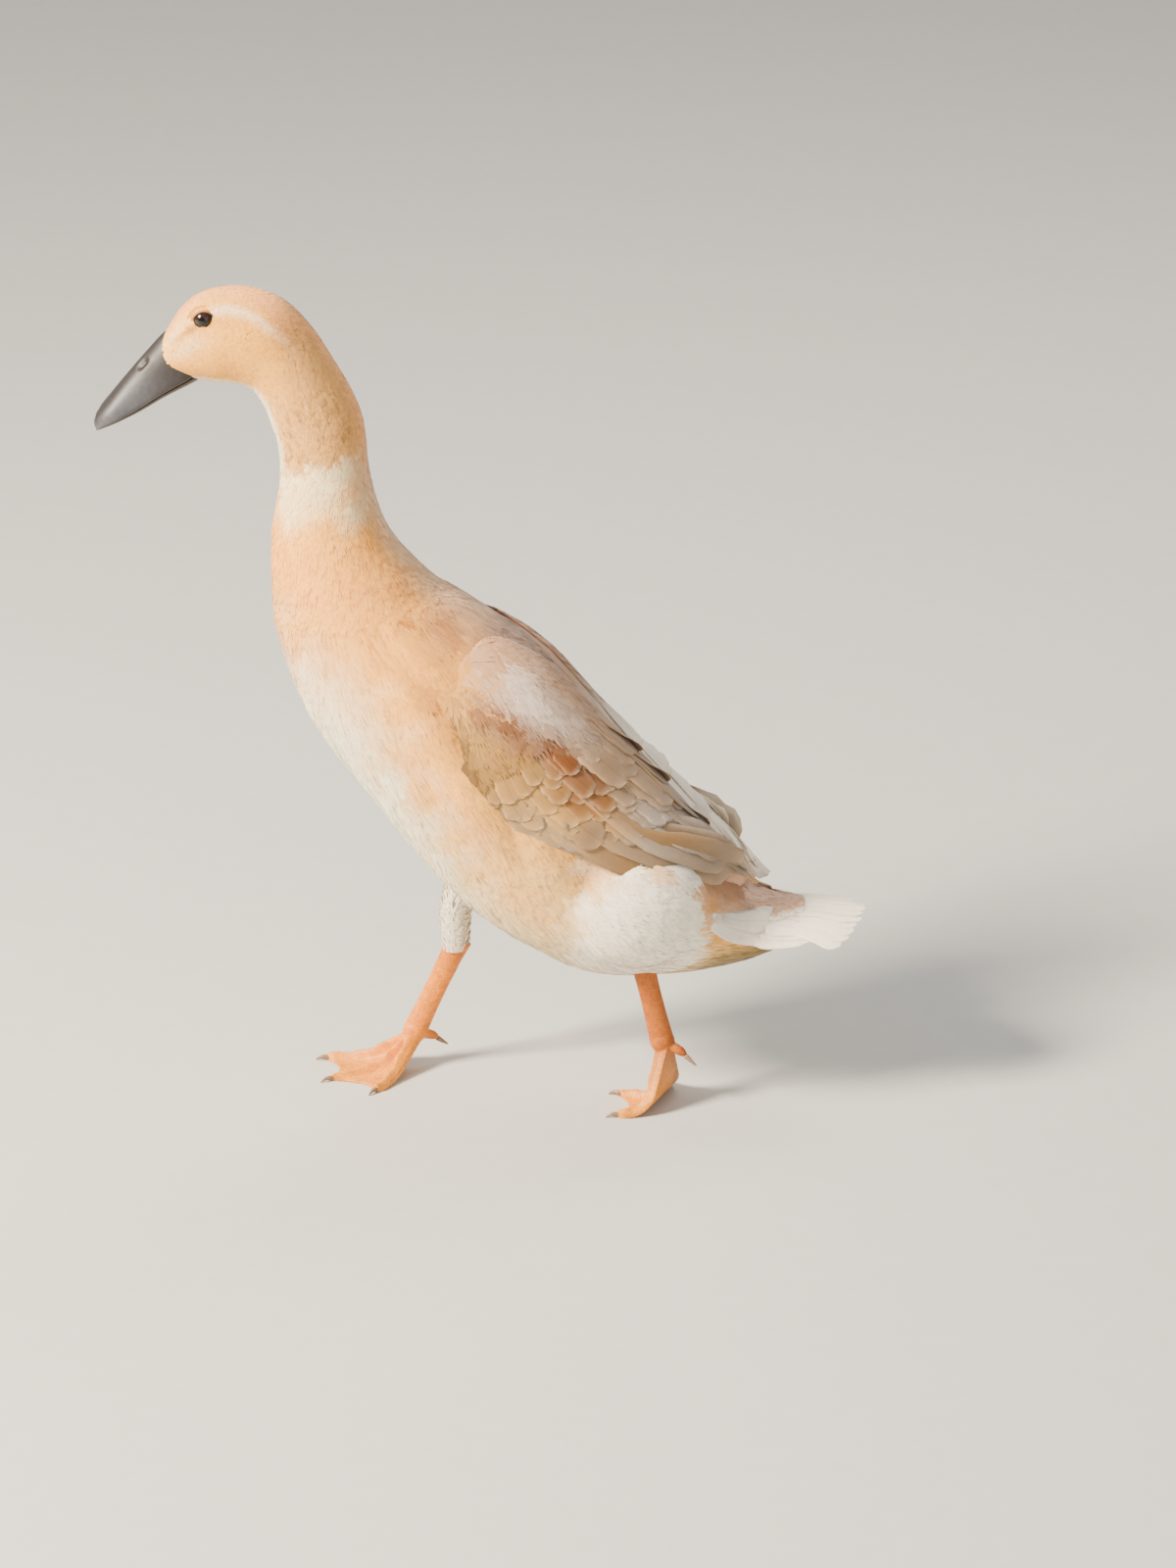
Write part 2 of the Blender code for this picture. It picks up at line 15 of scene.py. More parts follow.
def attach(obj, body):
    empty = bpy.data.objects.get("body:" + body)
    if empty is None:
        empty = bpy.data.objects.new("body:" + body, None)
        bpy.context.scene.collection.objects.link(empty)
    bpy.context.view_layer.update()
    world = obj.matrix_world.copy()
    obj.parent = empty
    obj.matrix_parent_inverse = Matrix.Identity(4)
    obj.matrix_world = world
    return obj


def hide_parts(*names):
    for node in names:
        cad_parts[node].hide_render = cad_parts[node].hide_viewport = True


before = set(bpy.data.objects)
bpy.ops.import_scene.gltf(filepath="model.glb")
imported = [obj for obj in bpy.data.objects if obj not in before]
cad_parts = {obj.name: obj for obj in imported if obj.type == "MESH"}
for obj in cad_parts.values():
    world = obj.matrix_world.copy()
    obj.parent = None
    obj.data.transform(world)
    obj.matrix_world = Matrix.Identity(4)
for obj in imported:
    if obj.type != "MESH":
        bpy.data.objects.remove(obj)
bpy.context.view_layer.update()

MM = 0.001
ORIGIN = np.array((0.3, 2.4, 0.0))                 # what the solids were moved by, to stand centred

# The body's cross-sections, as in the solids: back, height, lean, half depth, half width, widest.
BODY_SECTIONS = (
    (-169.0, 426.5, -26.0, 10.5, 11.0, -0.05),     # front of the face
    (-162.0, 431.0, -22.0, 15.7, 14.0, -0.10),
    (-153.5, 436.4, -16.0, 22.0, 17.0, -0.12),     # forehead
    (-144.7, 439.7, -8.0, 25.6, 19.0, -0.12),      # eyes
    (-133.8, 441.0, -1.0, 26.9, 20.0, -0.12),      # crown
    (-123.7, 439.4, 8.0, 27.3, 20.5, -0.10),
    (-113.7, 434.5, 18.0, 27.0, 20.5, -0.05),
    (-105.4, 425.1, 31.0, 25.6, 20.5, 0.0),        # nape
    (-98.1, 413.2, 46.0, 24.0, 20.5, 0.0),
    (-87.0, 387.7, 68.0, 24.6, 21.0, 0.0),         # upper neck
    (-84.3, 360.0, 87.0, 24.8, 22.5, 0.0),
    (-81.4, 329.1, 90.0, 32.5, 30.0, 0.0),
    (-69.0, 296.3, 85.0, 45.5, 42.0, 0.0),         # base of the neck
    (-57.5, 278.5, 80.0, 54.5, 48.0, 0.0),
    (-29.5, 240.3, 75.0, 67.5, 56.0, 0.05),        # shoulders
    (2.8, 198.0, 75.0, 69.6, 59.0, 0.05),
    (38.6, 153.8, 71.0, 69.0, 58.0, 0.05),         # hips
    (58.6, 132.3, 67.0, 65.7, 56.0, 0.05),
    (79.2, 115.2, 63.0, 59.6, 53.0, 0.05),
    (100.2, 101.4, 58.0, 51.7, 48.0, 0.05),
    (122.0, 95.2, 53.0, 39.0, 41.0, 0.10),         # vent
    (142.7, 94.7, 44.0, 28.3, 34.0, 0.10),
    (159.6, 96.3, 36.0, 21.3, 27.0, 0.10),
    (173.6, 99.4, 28.0, 14.5, 20.0, 0.10),         # root of the tail
)
LAST = len(BODY_SECTIONS) - 1.0

# The coat: section, distance between tufts, tuft length, half width, depth, blades in a tuft.
COAT = (
    (0.0, 0.95, 3.0, 0.85, 0.35, 4),
    (4.0, 1.15, 4.4, 1.05, 0.45, 4),
    (8.4, 1.6, 8.0, 1.7, 0.8, 5),
    (12.0, 2.4, 14.0, 2.8, 1.4, 6),
    (15.0, 3.0, 20.0, 4.2, 1.9, 7),
    (19.0, 3.0, 21.0, 4.2, 2.1, 7),
    (23.0, 2.3, 17.0, 3.2, 1.5, 6),
)
SKIN_UNDER_ROOTS = 0.35                            # how much deeper than the tufts' roots the skin lies
COAT_PIECES = {                                    # first and last section, slot
    "coat_face": (0.0, 4.0, "fawn_plumage"),
    "coat_head": (4.0, 8.4, "fawn_plumage"),
    "coat_neck": (8.4, 10.9, "apricot_plumage"),
    "coat_neck_base": (10.9, 12.6, "apricot_plumage"),
    "coat_breast": (12.6, 13.8, "buff_plumage"),
    "coat_flank": (13.8, 15.4, "buff_plumage"),
    "coat_belly": (15.4, 17.4, "buff_plumage"),
    "coat_vent": (17.4, 19.8, "buff_plumage"),
    "coat_rump": (19.8, 22.97, "apricot_plumage"),
}
# The flank's feathers swell over the wing's front and lower edge: section, degrees up, swell.
FLANK_FOLD = ((13.5, 16.0, 3.0), (14.2, -3.0, 7.0), (15.1, -11.0, 8.0), (15.8, -1.0, 5.0))
FOLD_REACH = (0.6, 10.0)                           # how far a hill spreads: sections, degrees
SWELL_SOFTNESS = 3.0    # how softly a thigh rises out of the body, in mm
SWELL_START = 0.2       # and what is taken off that rise, so that it ends

EYE_RADIUS = 6.0
EYE_PLACE = (10.8, -148.0, 452.5)
EYE_OPENING = (4.8, 4.4)                           # half length and half height between the lids
EYE_MARGIN = 1.0        # bare rim round the opening, free of tufts
EYE_TURN = 0.12         # how far the eye's axis points forwards, in radians
LID_WIDTH = 3.6
LID_ROWS = 14

# The bill's sections: top (back, height), bottom (back, height), half width.
BILL_SECTIONS = (
    (-161.0, 449.0, -147.0, 426.0, 10.5),          # inside the face
    (-171.3, 440.6, -157.5, 419.5, 12.3),
    (-182.7, 428.2, -172.0, 411.0, 12.2),          # nostrils
    (-193.6, 416.4, -185.5, 402.2, 12.8),
    (-202.0, 405.8, -197.0, 395.6, 13.4),          # broad end
    (-207.0, 398.6, -204.0, 391.6, 11.5),
    (-209.3, 392.3, -208.3, 388.0, 6.0),           # nail
)
JAW_DEPTH = 4.0
JAW_NARROWER = 2.2
NOSTRIL = (-182.2, 425.6)                          # back and height of its middle
NOSTRIL_DEPTH = 1.7
RIM_HEIGHT = 0.35
NAIL_HEIGHT = 0.45
# Where the face's feathers end on the bill, from the culmen to the corner of the mouth: height, back.
FACE_BORDER = (
    (414.0, -158.5), (421.0, -160.5), (424.3, -165.0), (427.0, -169.0),
    (431.5, -171.3), (437.4, -172.0), (441.2, -170.7),
)

# The folded wing: (section, degrees up from the side) along its lower and upper edge.
WING_LOWER_EDGE = ((13.5, 28.0), (14.1, 2.0), (15.1, -6.0), (15.9, 12.0), (17.4, 43.0), (18.5, 66.0))
WING_UPPER_EDGE = ((13.5, 28.0), (13.5, 66.0), (14.8, 84.0), (16.4, 87.0), (17.8, 87.0), (19.0, 82.0))
WING_TIPS = {"left": 19.6, "right": 20.8}
WING_TIP_ANGLE = 81.0
WING_SEAT = 1.0
WING_THICKNESS = (1.5, 4.5, 7.0, 10.0, 12.0, 11.0, 7.0)
WING_RIM = 0.3
WING_COVER = 0.16       # how far inside the wing's outline the body's tufts stop, as a share

# The tail fan.
TAIL_ROOT = 156.0
TAIL_TIP = 214.5
TAIL_HEIGHTS = (111.0, 110.5, 106.0)
TAIL_HALF_WIDTHS = (27.0, 35.0, 41.0)
TAIL_SWEEP = 17.0
TAIL_ARCH = 7.0
TAIL_FEATHERS = 13
# The white outer tail feathers start beside the rump: places on the body (section, degrees up,
# how far out), then points in space, for their lower edge and for the line they come out under.
SKIRT_EDGE = ((18.9, 28.0, 1.2), (19.8, 25.0, 3.0), (20.8, 20.0, 3.6))
SKIRT_EDGE_END = ((36.5, 160.0, 101.0), (39.5, 193.0, 99.5))
SKIRT_CREST = ((19.2, 44.0, -1.0), (20.3, 50.0, 0.3), (21.2, 58.0, 0.5))
SKIRT_CREST_END = ((17.0, 168.0, 109.6), (20.0, 206.0, 104.4))
SKIRT_FEATHERS = 5
TAIL_VANE = (7.6, 0.84)                            # half width, share at which the tip starts
SKIRT_VANE = (7.5, 0.70)

LEGS = {
    "left": dict(
        side=1, thigh=(37.0, 86.0, 126.0), radii=(40.0, 29.0, 20.0), knee=(31.0, 93.0, 102.0),
        hock=(28.0, 89.0, 89.0), ball=(26.0, 101.0, 37.5),
        turn=22.0, slope=86.0, raised=24.0, bend=13.0,
    ),
    "right": dict(
        side=-1, thigh=(-38.0, 40.0, 142.0), radii=(38.0, 28.0, 10.5), knee=(-32.0, -10.0, 107.0),
        hock=(-28.0, -16.0, 71.5), ball=(-28.5, -39.0, 21.5),
        turn=26.0, slope=34.0, raised=20.0, bend=32.0,
    ),
}
THIGH_TOP = 5.0
THIGH_RANGE = (0.75, 2.93)                         # levels between which it has tufts
THIGH_MAP = (0.7, 3.0)                             # levels at the two ends of its map
# The lower thigh's tufts: distance apart by level; length, half width and depth at levels 1, 2, 3.
THIGH_SPACING = ((0.75, 2.0, 3.0), (3.0, 2.2, 1.5))
THIGH_TUFTS = ((15.0, 9.0, 6.0), (3.0, 1.9, 1.1), (3.5, 2.2, 1.3))
THIGH_BLADES = 5
SLEEVE_TOPS = {"left": 97.0, "right": 175.0}       # below this height the thigh has its own coat
HOCK_RADIUS = 7.3
SHANK_HALF_DEPTHS = (7.2, 5.7, 5.6, 6.3)
SHANK_HALF_WIDTHS = (5.6, 4.0, 4.0, 5.6)
SHANK_COLUMNS = 40      # points round a shank
BALL_RADIUS = 7.0
BALL_PAD = 5.0
TOE_LENGTHS = (50.0, 60.0, 56.0)
TOE_SPREAD = math.radians(31.0)
TOE_HALF_WIDTH = 3.6
TOE_HEIGHTS = (8.0, 3.6)
TOE_EDGE = 0.9
TOE_TIP_ROUNDING = 6.0
WEB_THICKNESS = 1.3
WEB_HOLLOW = 8.0
SCUTE_PITCH = 2.4       # from one plate of a toe or shank to the next
CLAW_LENGTH = 5.5
CLAW_RADIUS = 1.5
HIND_TOE_LENGTH = 15.0
HIND_TOE_RADII = (3.0, 2.8, 2.0)
HIND_TOE_LIFT = 5.0
HIND_TOE_DROP = 5.0

# Points of each surface's grid, along its first and its second parameter.
BODY_GRID = (600, 541)
THIGH_GRID = (90, 121)
WING_GRID = (160, 90)
TAIL_GRID = (61, 61)
SKIRT_GRID = (80, 50)

SKIN_VOXEL = 2.4        # size of the skin's faces on the body
LEG_VOXEL = 0.62        # and on the legs
SKIN_SMOOTHING = 6      # rounds of smoothing on the body
LEG_SMOOTHING = 2       # and on the legs
SKIN_SHADE = 0.97       # how much duller than the coat's markings the skin's are
PATCH = 0.003           # width of a tuft's patch on its map

# The photo's view: what the middle of the picture looks at, how far off, and how high.
VIEW_TARGET = (0.0, 59.4, 181.0)
VIEW_DISTANCE = 3600.0
VIEW_ELEVATION = math.radians(20.0)
VIEW_LENS = 148.6

FORE_AND_AFT = (0.0, 1.0, 0.0)
UPWARDS = (0.0, 0.0, 1.0)

PURITY = 1.45           # how much purer the paints are mixed than they look

# Colours of the plumage, as sRGB.
TINTS = {
    "crown": "#E6B184", "nape": "#9A7352", "cheek": "#E9B47A", "brow": "#F8DEC2", "lores": "#A87A4C",
    "throat": "#F6E6C8", "upper neck": "#D2A87C", "streak": "#94704C", "ring": "#F8DEBC",
    "peach": "#F3AE76", "mottle": "#BC8A62", "spot": "#A4683C", "front": "#FCF0D8", "flank": "#E6B37E",
    "belly": "#E2CCA2", "back": "#92796A", "mantle": "#C09A7E", "hind neck": "#D4B292", "thigh": "#F2EBDC",
    # The tan under the tail is set dark, as painted shade.
    "rump": "#DCBEA8", "rump tips": "#DCA070", "undertail": "#6A5632", "tail": "#FAEFE0",
    # The wing's tertials, secondaries, small coverts and rust are their own greys and browns, set darker
    # as painted shade of the folded wing.
    "scapular": "#EBDACB", "scapular ends": "#9A8068", "shoulder": "#C09A72", "lesser covert": "#AC8C66",
    # The second tint on the next line is painted shadow, for the band under the flank's fold.
    "rust": "#744A18", "crease": "#5C4630", "tertial": "#8B7C6D", "pale tertial": "#A99F95",
    "tan tertial": "#86694A", "secondary": "#958473", "primary": "#CDB695", "crescent": "#DDC8AC",
}

# Markings of the body: lines as (section, degrees up), of the thigh patch as (degrees up, section).
CAP_LINE = ((0.0, 62), (3.6, 56), (5.3, 47), (6.2, 22), (7.4, -5), (8.6, -30))
BROW_LINE = ((2.0, 43), (3.6, 46), (4.7, 40), (5.6, 30))
CHIN_LINE = ((0.5, -40), (3.8, -52), (6.2, -50), (8.3, -58), (9.2, -62))
THIGH_PATCH_FRONT = (
    (-60, 18.1), (-45, 17.8), (-29, 17.3), (-8, 16.7), (9, 16.1), (26, 16.3), (35, 16.7),
)
THIGH_PATCH_REAR = ((-60, 19.4), (-24, 19.9), (10, 19.3), (23, 18.7), (32, 18.0), (37, 17.4))
WHITE_BAND_EDGE = ((18.9, 28), (19.8, 25), (20.8, 20), (21.8, 8), (22.8, -10))
WHITE_BAND_CREST = ((18.9, 34), (19.6, 40), (20.3, 46), (21.2, 53), (22.0, 62), (23.0, 75))
# Small rusty spots of the mantle: middle and size, both as section and degrees up.
RUSTY_SPOTS = (((12.5, 44.0), (0.13, 2.5)), ((12.85, 39.0), (0.16, 3.0)), ((12.2, 28.0), (0.12, 2.5)))
# Rusty blots of the wing: middle and size as shares along and across it, strength.
RUSTY_COVERTS = (
    ((0.16, 0.27), (0.05, 0.07), 0.75), ((0.24, 0.37), (0.065, 0.08), 0.85),
    ((0.325, 0.47), (0.055, 0.07), 1.0), ((0.375, 0.49), (0.035, 0.05), 0.9),
    ((0.385, 0.37), (0.045, 0.07), 0.75), ((0.42, 0.44), (0.03, 0.06), 0.7),
    ((0.30, 0.20), (0.06, 0.08), 0.25),
)

# Colours of the bare parts and the studio, as sRGB.
SHANK_TINTS = {"left": "#AC6C1C", "right": "#E8983A"}    # the near leg is in the photo's shade
TOE_TINT = "#F2A670"
LEG_SHADE_TINT = "#9C5818"
LID_RIM_TINT = "#5A4434"
BILL_TINTS = {"slate": "#2B2726", "light": "#4A494E", "dark": "#261F1D", "lower": "#403836"}
EYE_TINTS = ("#050403", "#2C180E", "#0E0805")           # pupil, iris, rim
CLAW_TINTS = ("#5E4330", "#A98463")
FLOOR_TINTS = ("#C2C1BB", "#C9C8C2")
SKY_TINT = "#F2F4F7"
SKY_STRENGTH = 0.62
# Lamps: name, place in metres, size in metres, watts, colour.
LAMPS = (
    ("key", (1.0, -1.9, 1.8), 0.7, 305.0, "#FFF1DC"),
    ("fill", (2.6, 1.2, 1.0), 2.0, 16.0, "#F2F4FF"),
    ("rim", (-1.3, 0.6, 1.9), 0.9, 24.0, "#FFF6EA"),
)
LAMP_TARGET = (0.0, 0.0, 0.22)
FLOOR_HALF_SIZE = 6000.0                                 # mm

# Mottling: size in mm and seed.
MOTTLES = {
    "body blotches": (11.0, 1), "body flecks": (4.0, 2), "thigh": (6.0, 3), "wing blotches": (16.0, 31),
    "wing feathers": (5.0, 7), "tail feathers": (7.0, 9), "leg blotches": (7.0, 11),
    "leg flecks": (2.5, 12), "bill blotches": (5.0, 21), "bill flecks": (2.0, 22),
    "lower bill": (4.0, 23),
}
# Seeds of the random draws; a piece adds its own number to its kind's seed.
SEEDS = {
    "body roots": 40, "body tufts": 60, "thigh roots": 80, "thigh tufts": 90, "shoulder roots": 180,
    "shoulder tufts": 190, "wing feathers": 200, "tail lengths": 299, "tail": 300, "skirt": 305,
}


def linear(hex_colour):
    """The linear colour of an sRGB hex value."""
    values = [int(hex_colour[i:i + 2], 16) / 255 for i in (1, 3, 5)]
    return [v / 12.92 if v <= 0.04045 else ((v + 0.055) / 1.055) ** 2.4 for v in values]


def purer(hex_colour):
    """A linear colour moved away from its own grey, as bright light in the film look pales it."""
    colour = np.array(linear(hex_colour))
    grey = colour @ (0.2126, 0.7152, 0.0722)
    return np.clip(grey + (colour - grey) * PURITY, 0.004, 0.96)


def tint(name):
    """A plumage colour as three linear numbers."""
    return purer(TINTS[name])


# Curves, surfaces and noise

def through(rows, place):
    """Rows of numbers joined by a smooth curve: a Catmull-Rom spline, read at each place."""
    rows = np.asarray(rows, float)
    if rows.ndim == 1:
        rows = rows[:, None]
    padded = np.vstack((2 * rows[0] - rows[1], rows, 2 * rows[-1] - rows[-2]))
    place = np.clip(np.asarray(place, float), 0.0, len(rows) - 1.0)
    first = np.minimum(place.astype(int), len(rows) - 2)
    t = (place - first)[..., None]
    a, b, c, d = (padded[first + i] for i in range(4))
    curve = 2 * b + (c - a) * t + (2 * a - 5 * b + 4 * c - d) * t**2 + (3 * b - a - 3 * c + d) * t**3
    return 0.5 * curve


def unit(vectors):
    """Vectors made one long."""
    return vectors / np.maximum(np.linalg.norm(vectors, axis=-1, keepdims=True), 1e-9)


def ease(value, start, end):
    """0 before start, 1 past end, and a smooth S between them."""
    t = np.clip((value - start) / (end - start), 0.0, 1.0)
    return t * t * (3 - 2 * t)


def lattice(first, second):
    """Two grids of numbers: one row for each of the first, one column for each of the second."""
    return np.meshgrid(first, second, indexing="ij")


def full_turn(count):
    """Angles evenly round a circle."""
    return np.arange(count) * 2 * math.pi / count


def mottle(points, name):
    """Soft blotches from -1 to 1: a sum of sine waves in seeded directions, about size long."""
    size, seed = MOTTLES[name]
    rng = np.random.default_rng(seed)
    total = np.zeros(points.shape[:-1])
    for _ in range(7):
        direction = unit(rng.normal(size=3)) * 2 * math.pi / (size * rng.uniform(1.2, 2.6))
        total += np.sin(points @ direction + rng.uniform(0, 2 * math.pi))
    return np.clip(total / 3.2, -1, 1)


def body_point(section, angle):
    """Body surface: the ellipse of a section, read at an angle up from the left side."""
    row = through(BODY_SECTIONS, section)
    back, height, lean, depth, width, widest = np.moveaxis(row, -1, 0)
    lean = np.radians(lean)
    across = width * np.cos(angle)
    up = depth * np.sin(angle) + widest * depth * np.cos(angle) ** 2
    return np.stack((across, back + up * np.sin(lean), height + up * np.cos(lean)), axis=-1)


def body_normal(section, angle):
    """Outward normal of the body surface, from its slopes along and around."""
    step = 0.01
    along = body_point(section + step, angle) - body_point(section - step, angle)
    around = body_point(section, angle + step) - body_point(section, angle - step)
    return unit(np.cross(along, around))


def thigh_swell(point, normal):
    """How far each thigh pushes the body surface out.

    The thigh's middle is an ellipsoid; the swell is the distance from the point along its normal
    to where that line leaves the ellipsoid, eased in from nothing.
    """
    swell = np.zeros(point.shape[:-1])
    for leg in LEGS.values():
        deep, wide, _ = leg["radii"]
        radii = np.array((wide, deep, 0.95 * deep))
        start = (point - np.array(leg["thigh"])) / radii
        run = normal / radii
        a = np.sum(run * run, axis=-1)
        b = np.sum(run * start, axis=-1)
        c = np.sum(start * start, axis=-1) - 1
        leaves = (-b + np.sqrt(np.maximum(b * b - a * c, 0.0))) / a
        leaves = np.where((b * b > a * c) & (b > 0), leaves, -20.0)
        eased = 0.5 * (leaves + np.sqrt(leaves**2 + SWELL_SOFTNESS**2))
        swell = np.maximum(swell, eased - SWELL_START)
    return np.maximum(swell, 0.0)


def fold_swell(section, angle):
    """Swell of the flank along the wing's edge: the highest of a few round hills."""
    up = np.degrees(np.arcsin(np.sin(angle)))
    hills = [
        high * np.exp(-((section - place) / FOLD_REACH[0]) ** 2 - ((up - degrees) / FOLD_REACH[1]) ** 2)
        for place, degrees, high in FLANK_FOLD
    ]
    return np.max(hills, axis=0)


def body_shape(section, angle):
    """Outline of the coat: the body with its thighs and flank folds swelling out of it."""
    point, normal = body_point(section, angle), body_normal(section, angle)
    swell = thigh_swell(point, normal) + fold_swell(section, angle)
    return point + normal * swell[..., None]


def thigh_shape(leg, level, angle):
    """Feathered thigh: level rings from its top (0) by the middle (1) and knee (2) to the hock (3)."""
    middle, knee, hock = (np.array(leg[key]) for key in ("thigh", "knee", "hock"))
    deep, wide, narrow = leg["radii"]
    top = middle + np.array((0.0, 0.0, 0.92 * deep))
    centre = through((top, middle, knee, hock), level)
    deeps = through((THIGH_TOP, deep, narrow, HOCK_RADIUS), level)[..., 0]
    wides = through((THIGH_TOP, wide, narrow, HOCK_RADIUS), level)[..., 0]
    pinch = 1 - 0.16 * ease(level, 2.5, 3.0)
    deeps, wides = deeps * pinch, wides * pinch
    ring = np.stack((wides * np.cos(angle), deeps * np.sin(angle), 0 * angle), axis=-1)
    return centre + ring


def wing_place(side, along, across):
    """Section and angle of a place on the wing: a share along it and a share up across it."""
    tip = (WING_TIPS[side], WING_TIP_ANGLE)
    lower = through(WING_LOWER_EDGE + (tip,), along * len(WING_LOWER_EDGE))
    upper = through(WING_UPPER_EDGE + (tip,), along * len(WING_UPPER_EDGE))
    place = lower + (upper - lower) * across[..., None]
    angle = np.radians(place[..., 1])
    return place[..., 0], (math.pi - angle if side == "right" else angle)


def wing_shape(side, along, across, share=1.0):
    """Wing surface: the body surface moved out by the wing's thickness, which is least at its rim."""
    section, angle = wing_place(side, along, across)
    swell = WING_RIM + (1 - WING_RIM) * np.sqrt(np.sin(math.pi * np.clip(across, 0, 1)))
    thickness = through(WING_THICKNESS, along * (len(WING_THICKNESS) - 1))[..., 0] * swell
    lift = (WING_SEAT + thickness * share) * (0.15 + 0.85 * ease(along, -0.05, 0.26))
    return body_point(section, angle) + body_normal(section, angle) * lift[..., None]


def tail_shape(across, along):
    """Tail surface: a fan that widens, sweeps back less at its sides and arches down there."""
    half_width = through(TAIL_HALF_WIDTHS, np.clip(along, 0, 1) * 2)[..., 0]
    height = through(TAIL_HEIGHTS, np.clip(along, 0, 1) * 2)[..., 0] - TAIL_ARCH * across**2
    end = TAIL_TIP - TAIL_SWEEP * across**2
    back = TAIL_ROOT + (end - TAIL_ROOT) * along
    return np.stack((half_width * across, back, height), axis=-1)


class Surface:
    """A surface kept as a fine grid over two parameters and read between its four nearest points."""

    def __init__(self, shape, first, second, flip=False):
        self.low = np.array((first[0], second[0]))
        self.step = np.array([(b - a) / (n - 1) for a, b, n in (first, second)])
        points = shape(*lattice(np.linspace(*first), np.linspace(*second)))
        along, across = (np.gradient(points, axis=k) / self.step[k] for k in (0, 1))
        normal = unit(np.cross(along, across)) * (-1 if flip else 1)
        self.grid = np.concatenate((points, normal, along, across), axis=-1)

    def at(self, place):
        """Point, normal and the two slopes at places (..., 2)."""
        index = (place - self.low) / self.step
        size = np.array(self.grid.shape[:2]) - 1
        index = np.clip(index, 0, size - 1e-6)
        corner = index.astype(int)
        part = index - corner
        i, j = corner[..., 0], corner[..., 1]
        u, v = part[..., 0, None], part[..., 1, None]
        row = self.grid[i, j] * (1 - v) + self.grid[i, j + 1] * v
        after = self.grid[i + 1, j] * (1 - v) + self.grid[i + 1, j + 1] * v
        value = row * (1 - u) + after * u
        return value[..., 0:3], unit(value[..., 3:6]), value[..., 6:9], value[..., 9:12]


# Meshes

def mesh_of(name, points, quads=(), triangles=(), flat=False):
    """A mesh in metres from points in millimetres and faces given as rows of point numbers."""
    quads, triangles = (np.asarray(f, np.int32).reshape(-1, n) for f, n in ((quads, 4), (triangles, 3)))
    corners = np.concatenate((quads.ravel(), triangles.ravel()))
    sizes = np.concatenate((np.full(len(quads), 4), np.full(len(triangles), 3)))
    starts = np.concatenate(([0], np.cumsum(sizes)[:-1])).astype(np.int32)
    mesh = bpy.data.meshes.new(name)
    mesh.vertices.add(len(points))
    mesh.vertices.foreach_set("co", ((points - ORIGIN) * MM).astype(np.float32).ravel())
    mesh.loops.add(len(corners))
    mesh.loops.foreach_set("vertex_index", corners)
    mesh.polygons.add(len(sizes))
    mesh.polygons.foreach_set("loop_start", starts)
    mesh.polygons.foreach_set("use_smooth", np.full(len(sizes), not flat))
    mesh.update(calc_edges=True)
    return mesh


def set_colour(mesh, colours):
    """Store one linear colour for each point as the attribute Plumage."""
    layer = mesh.color_attributes.new("Plumage", "FLOAT_COLOR", "POINT")
    layer.data.foreach_set("color", np.column_stack((colours, np.ones(len(colours)))).ravel())


def set_map(mesh, name, places):
    """Store a UV map from one place for each point."""
    corners = np.empty(len(mesh.loops), np.int32)
    mesh.loops.foreach_get("vertex_index", corners)
    layer = mesh.uv_layers.new(name=name)
    layer.data.foreach_set("uv", places[corners].astype(np.float32).ravel())


def placed(name, data):
    """A new object in the scene."""
    thing = bpy.data.objects.new(name, data)
    bpy.context.scene.collection.objects.link(thing)
    return thing


def add_piece(name, mesh, materials, replaced=()):
    """Put a mesh in the scene as a piece that rides on the one body."""
    for material in materials:
        mesh.materials.append(material)
    piece = placed(name, mesh)
    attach(piece, "root")
    if replaced:
        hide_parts(*replaced)


def grid_faces(rows, columns, closed=False, flip=False):
    """Quads of a grid of points; closed joins the last column to the first."""
    index = np.arange(rows * columns).reshape(rows, columns)
    if closed:
        index = np.concatenate((index, index[:, :1]), axis=1)
    a, b, c, d = index[:-1, :-1], index[:-1, 1:], index[1:, 1:], index[1:, :-1]
    order = (d, c, b, a) if flip else (a, b, c, d)
    return np.stack(order, axis=-1).reshape(-1, 4)


def tube_mesh(rings):
    """Points and faces of a closed tube through rings: walls, and a fan to a middle point at each end."""
    rows, around = rings.shape[:2]
    points = np.vstack((rings.reshape(-1, 3), rings[0].mean(0), rings[-1].mean(0)))
    quads = grid_faces(rows, around, closed=True)
    near = np.arange(around)
    after = np.roll(near, -1)
    middle = np.full(around, rows * around)
    last = (rows - 1) * around
    caps = np.vstack((
        np.column_stack((after, near, middle)),
        np.column_stack((near + last, after + last, middle + 1)),
    ))
    return points, quads, caps


def slab_mesh(upper, lower):
    """Points and faces of a closed sheet between two grids that match."""
    rows, columns = upper.shape[:2]
    top = np.arange(rows * columns).reshape(rows, columns)
    bottom = top + rows * columns

    def wall(a, b, c, d):
        return np.stack((a, b, c, d), axis=-1).reshape(-1, 4)

    quads = np.vstack((
        wall(top[:-1, :-1], top[1:, :-1], top[1:, 1:], top[:-1, 1:]),
        wall(bottom[:-1, :-1], bottom[:-1, 1:], bottom[1:, 1:], bottom[1:, :-1]),
        wall(top[0, :-1], top[0, 1:], bottom[0, 1:], bottom[0, :-1]),
        wall(top[-1, :-1], bottom[-1, :-1], bottom[-1, 1:], top[-1, 1:]),
        wall(top[:-1, 0], bottom[:-1, 0], bottom[1:, 0], top[1:, 0]),
        wall(top[:-1, -1], top[1:, -1], bottom[1:, -1], bottom[:-1, -1]),
    ))
    return np.vstack((upper.reshape(-1, 3), lower.reshape(-1, 3))), quads


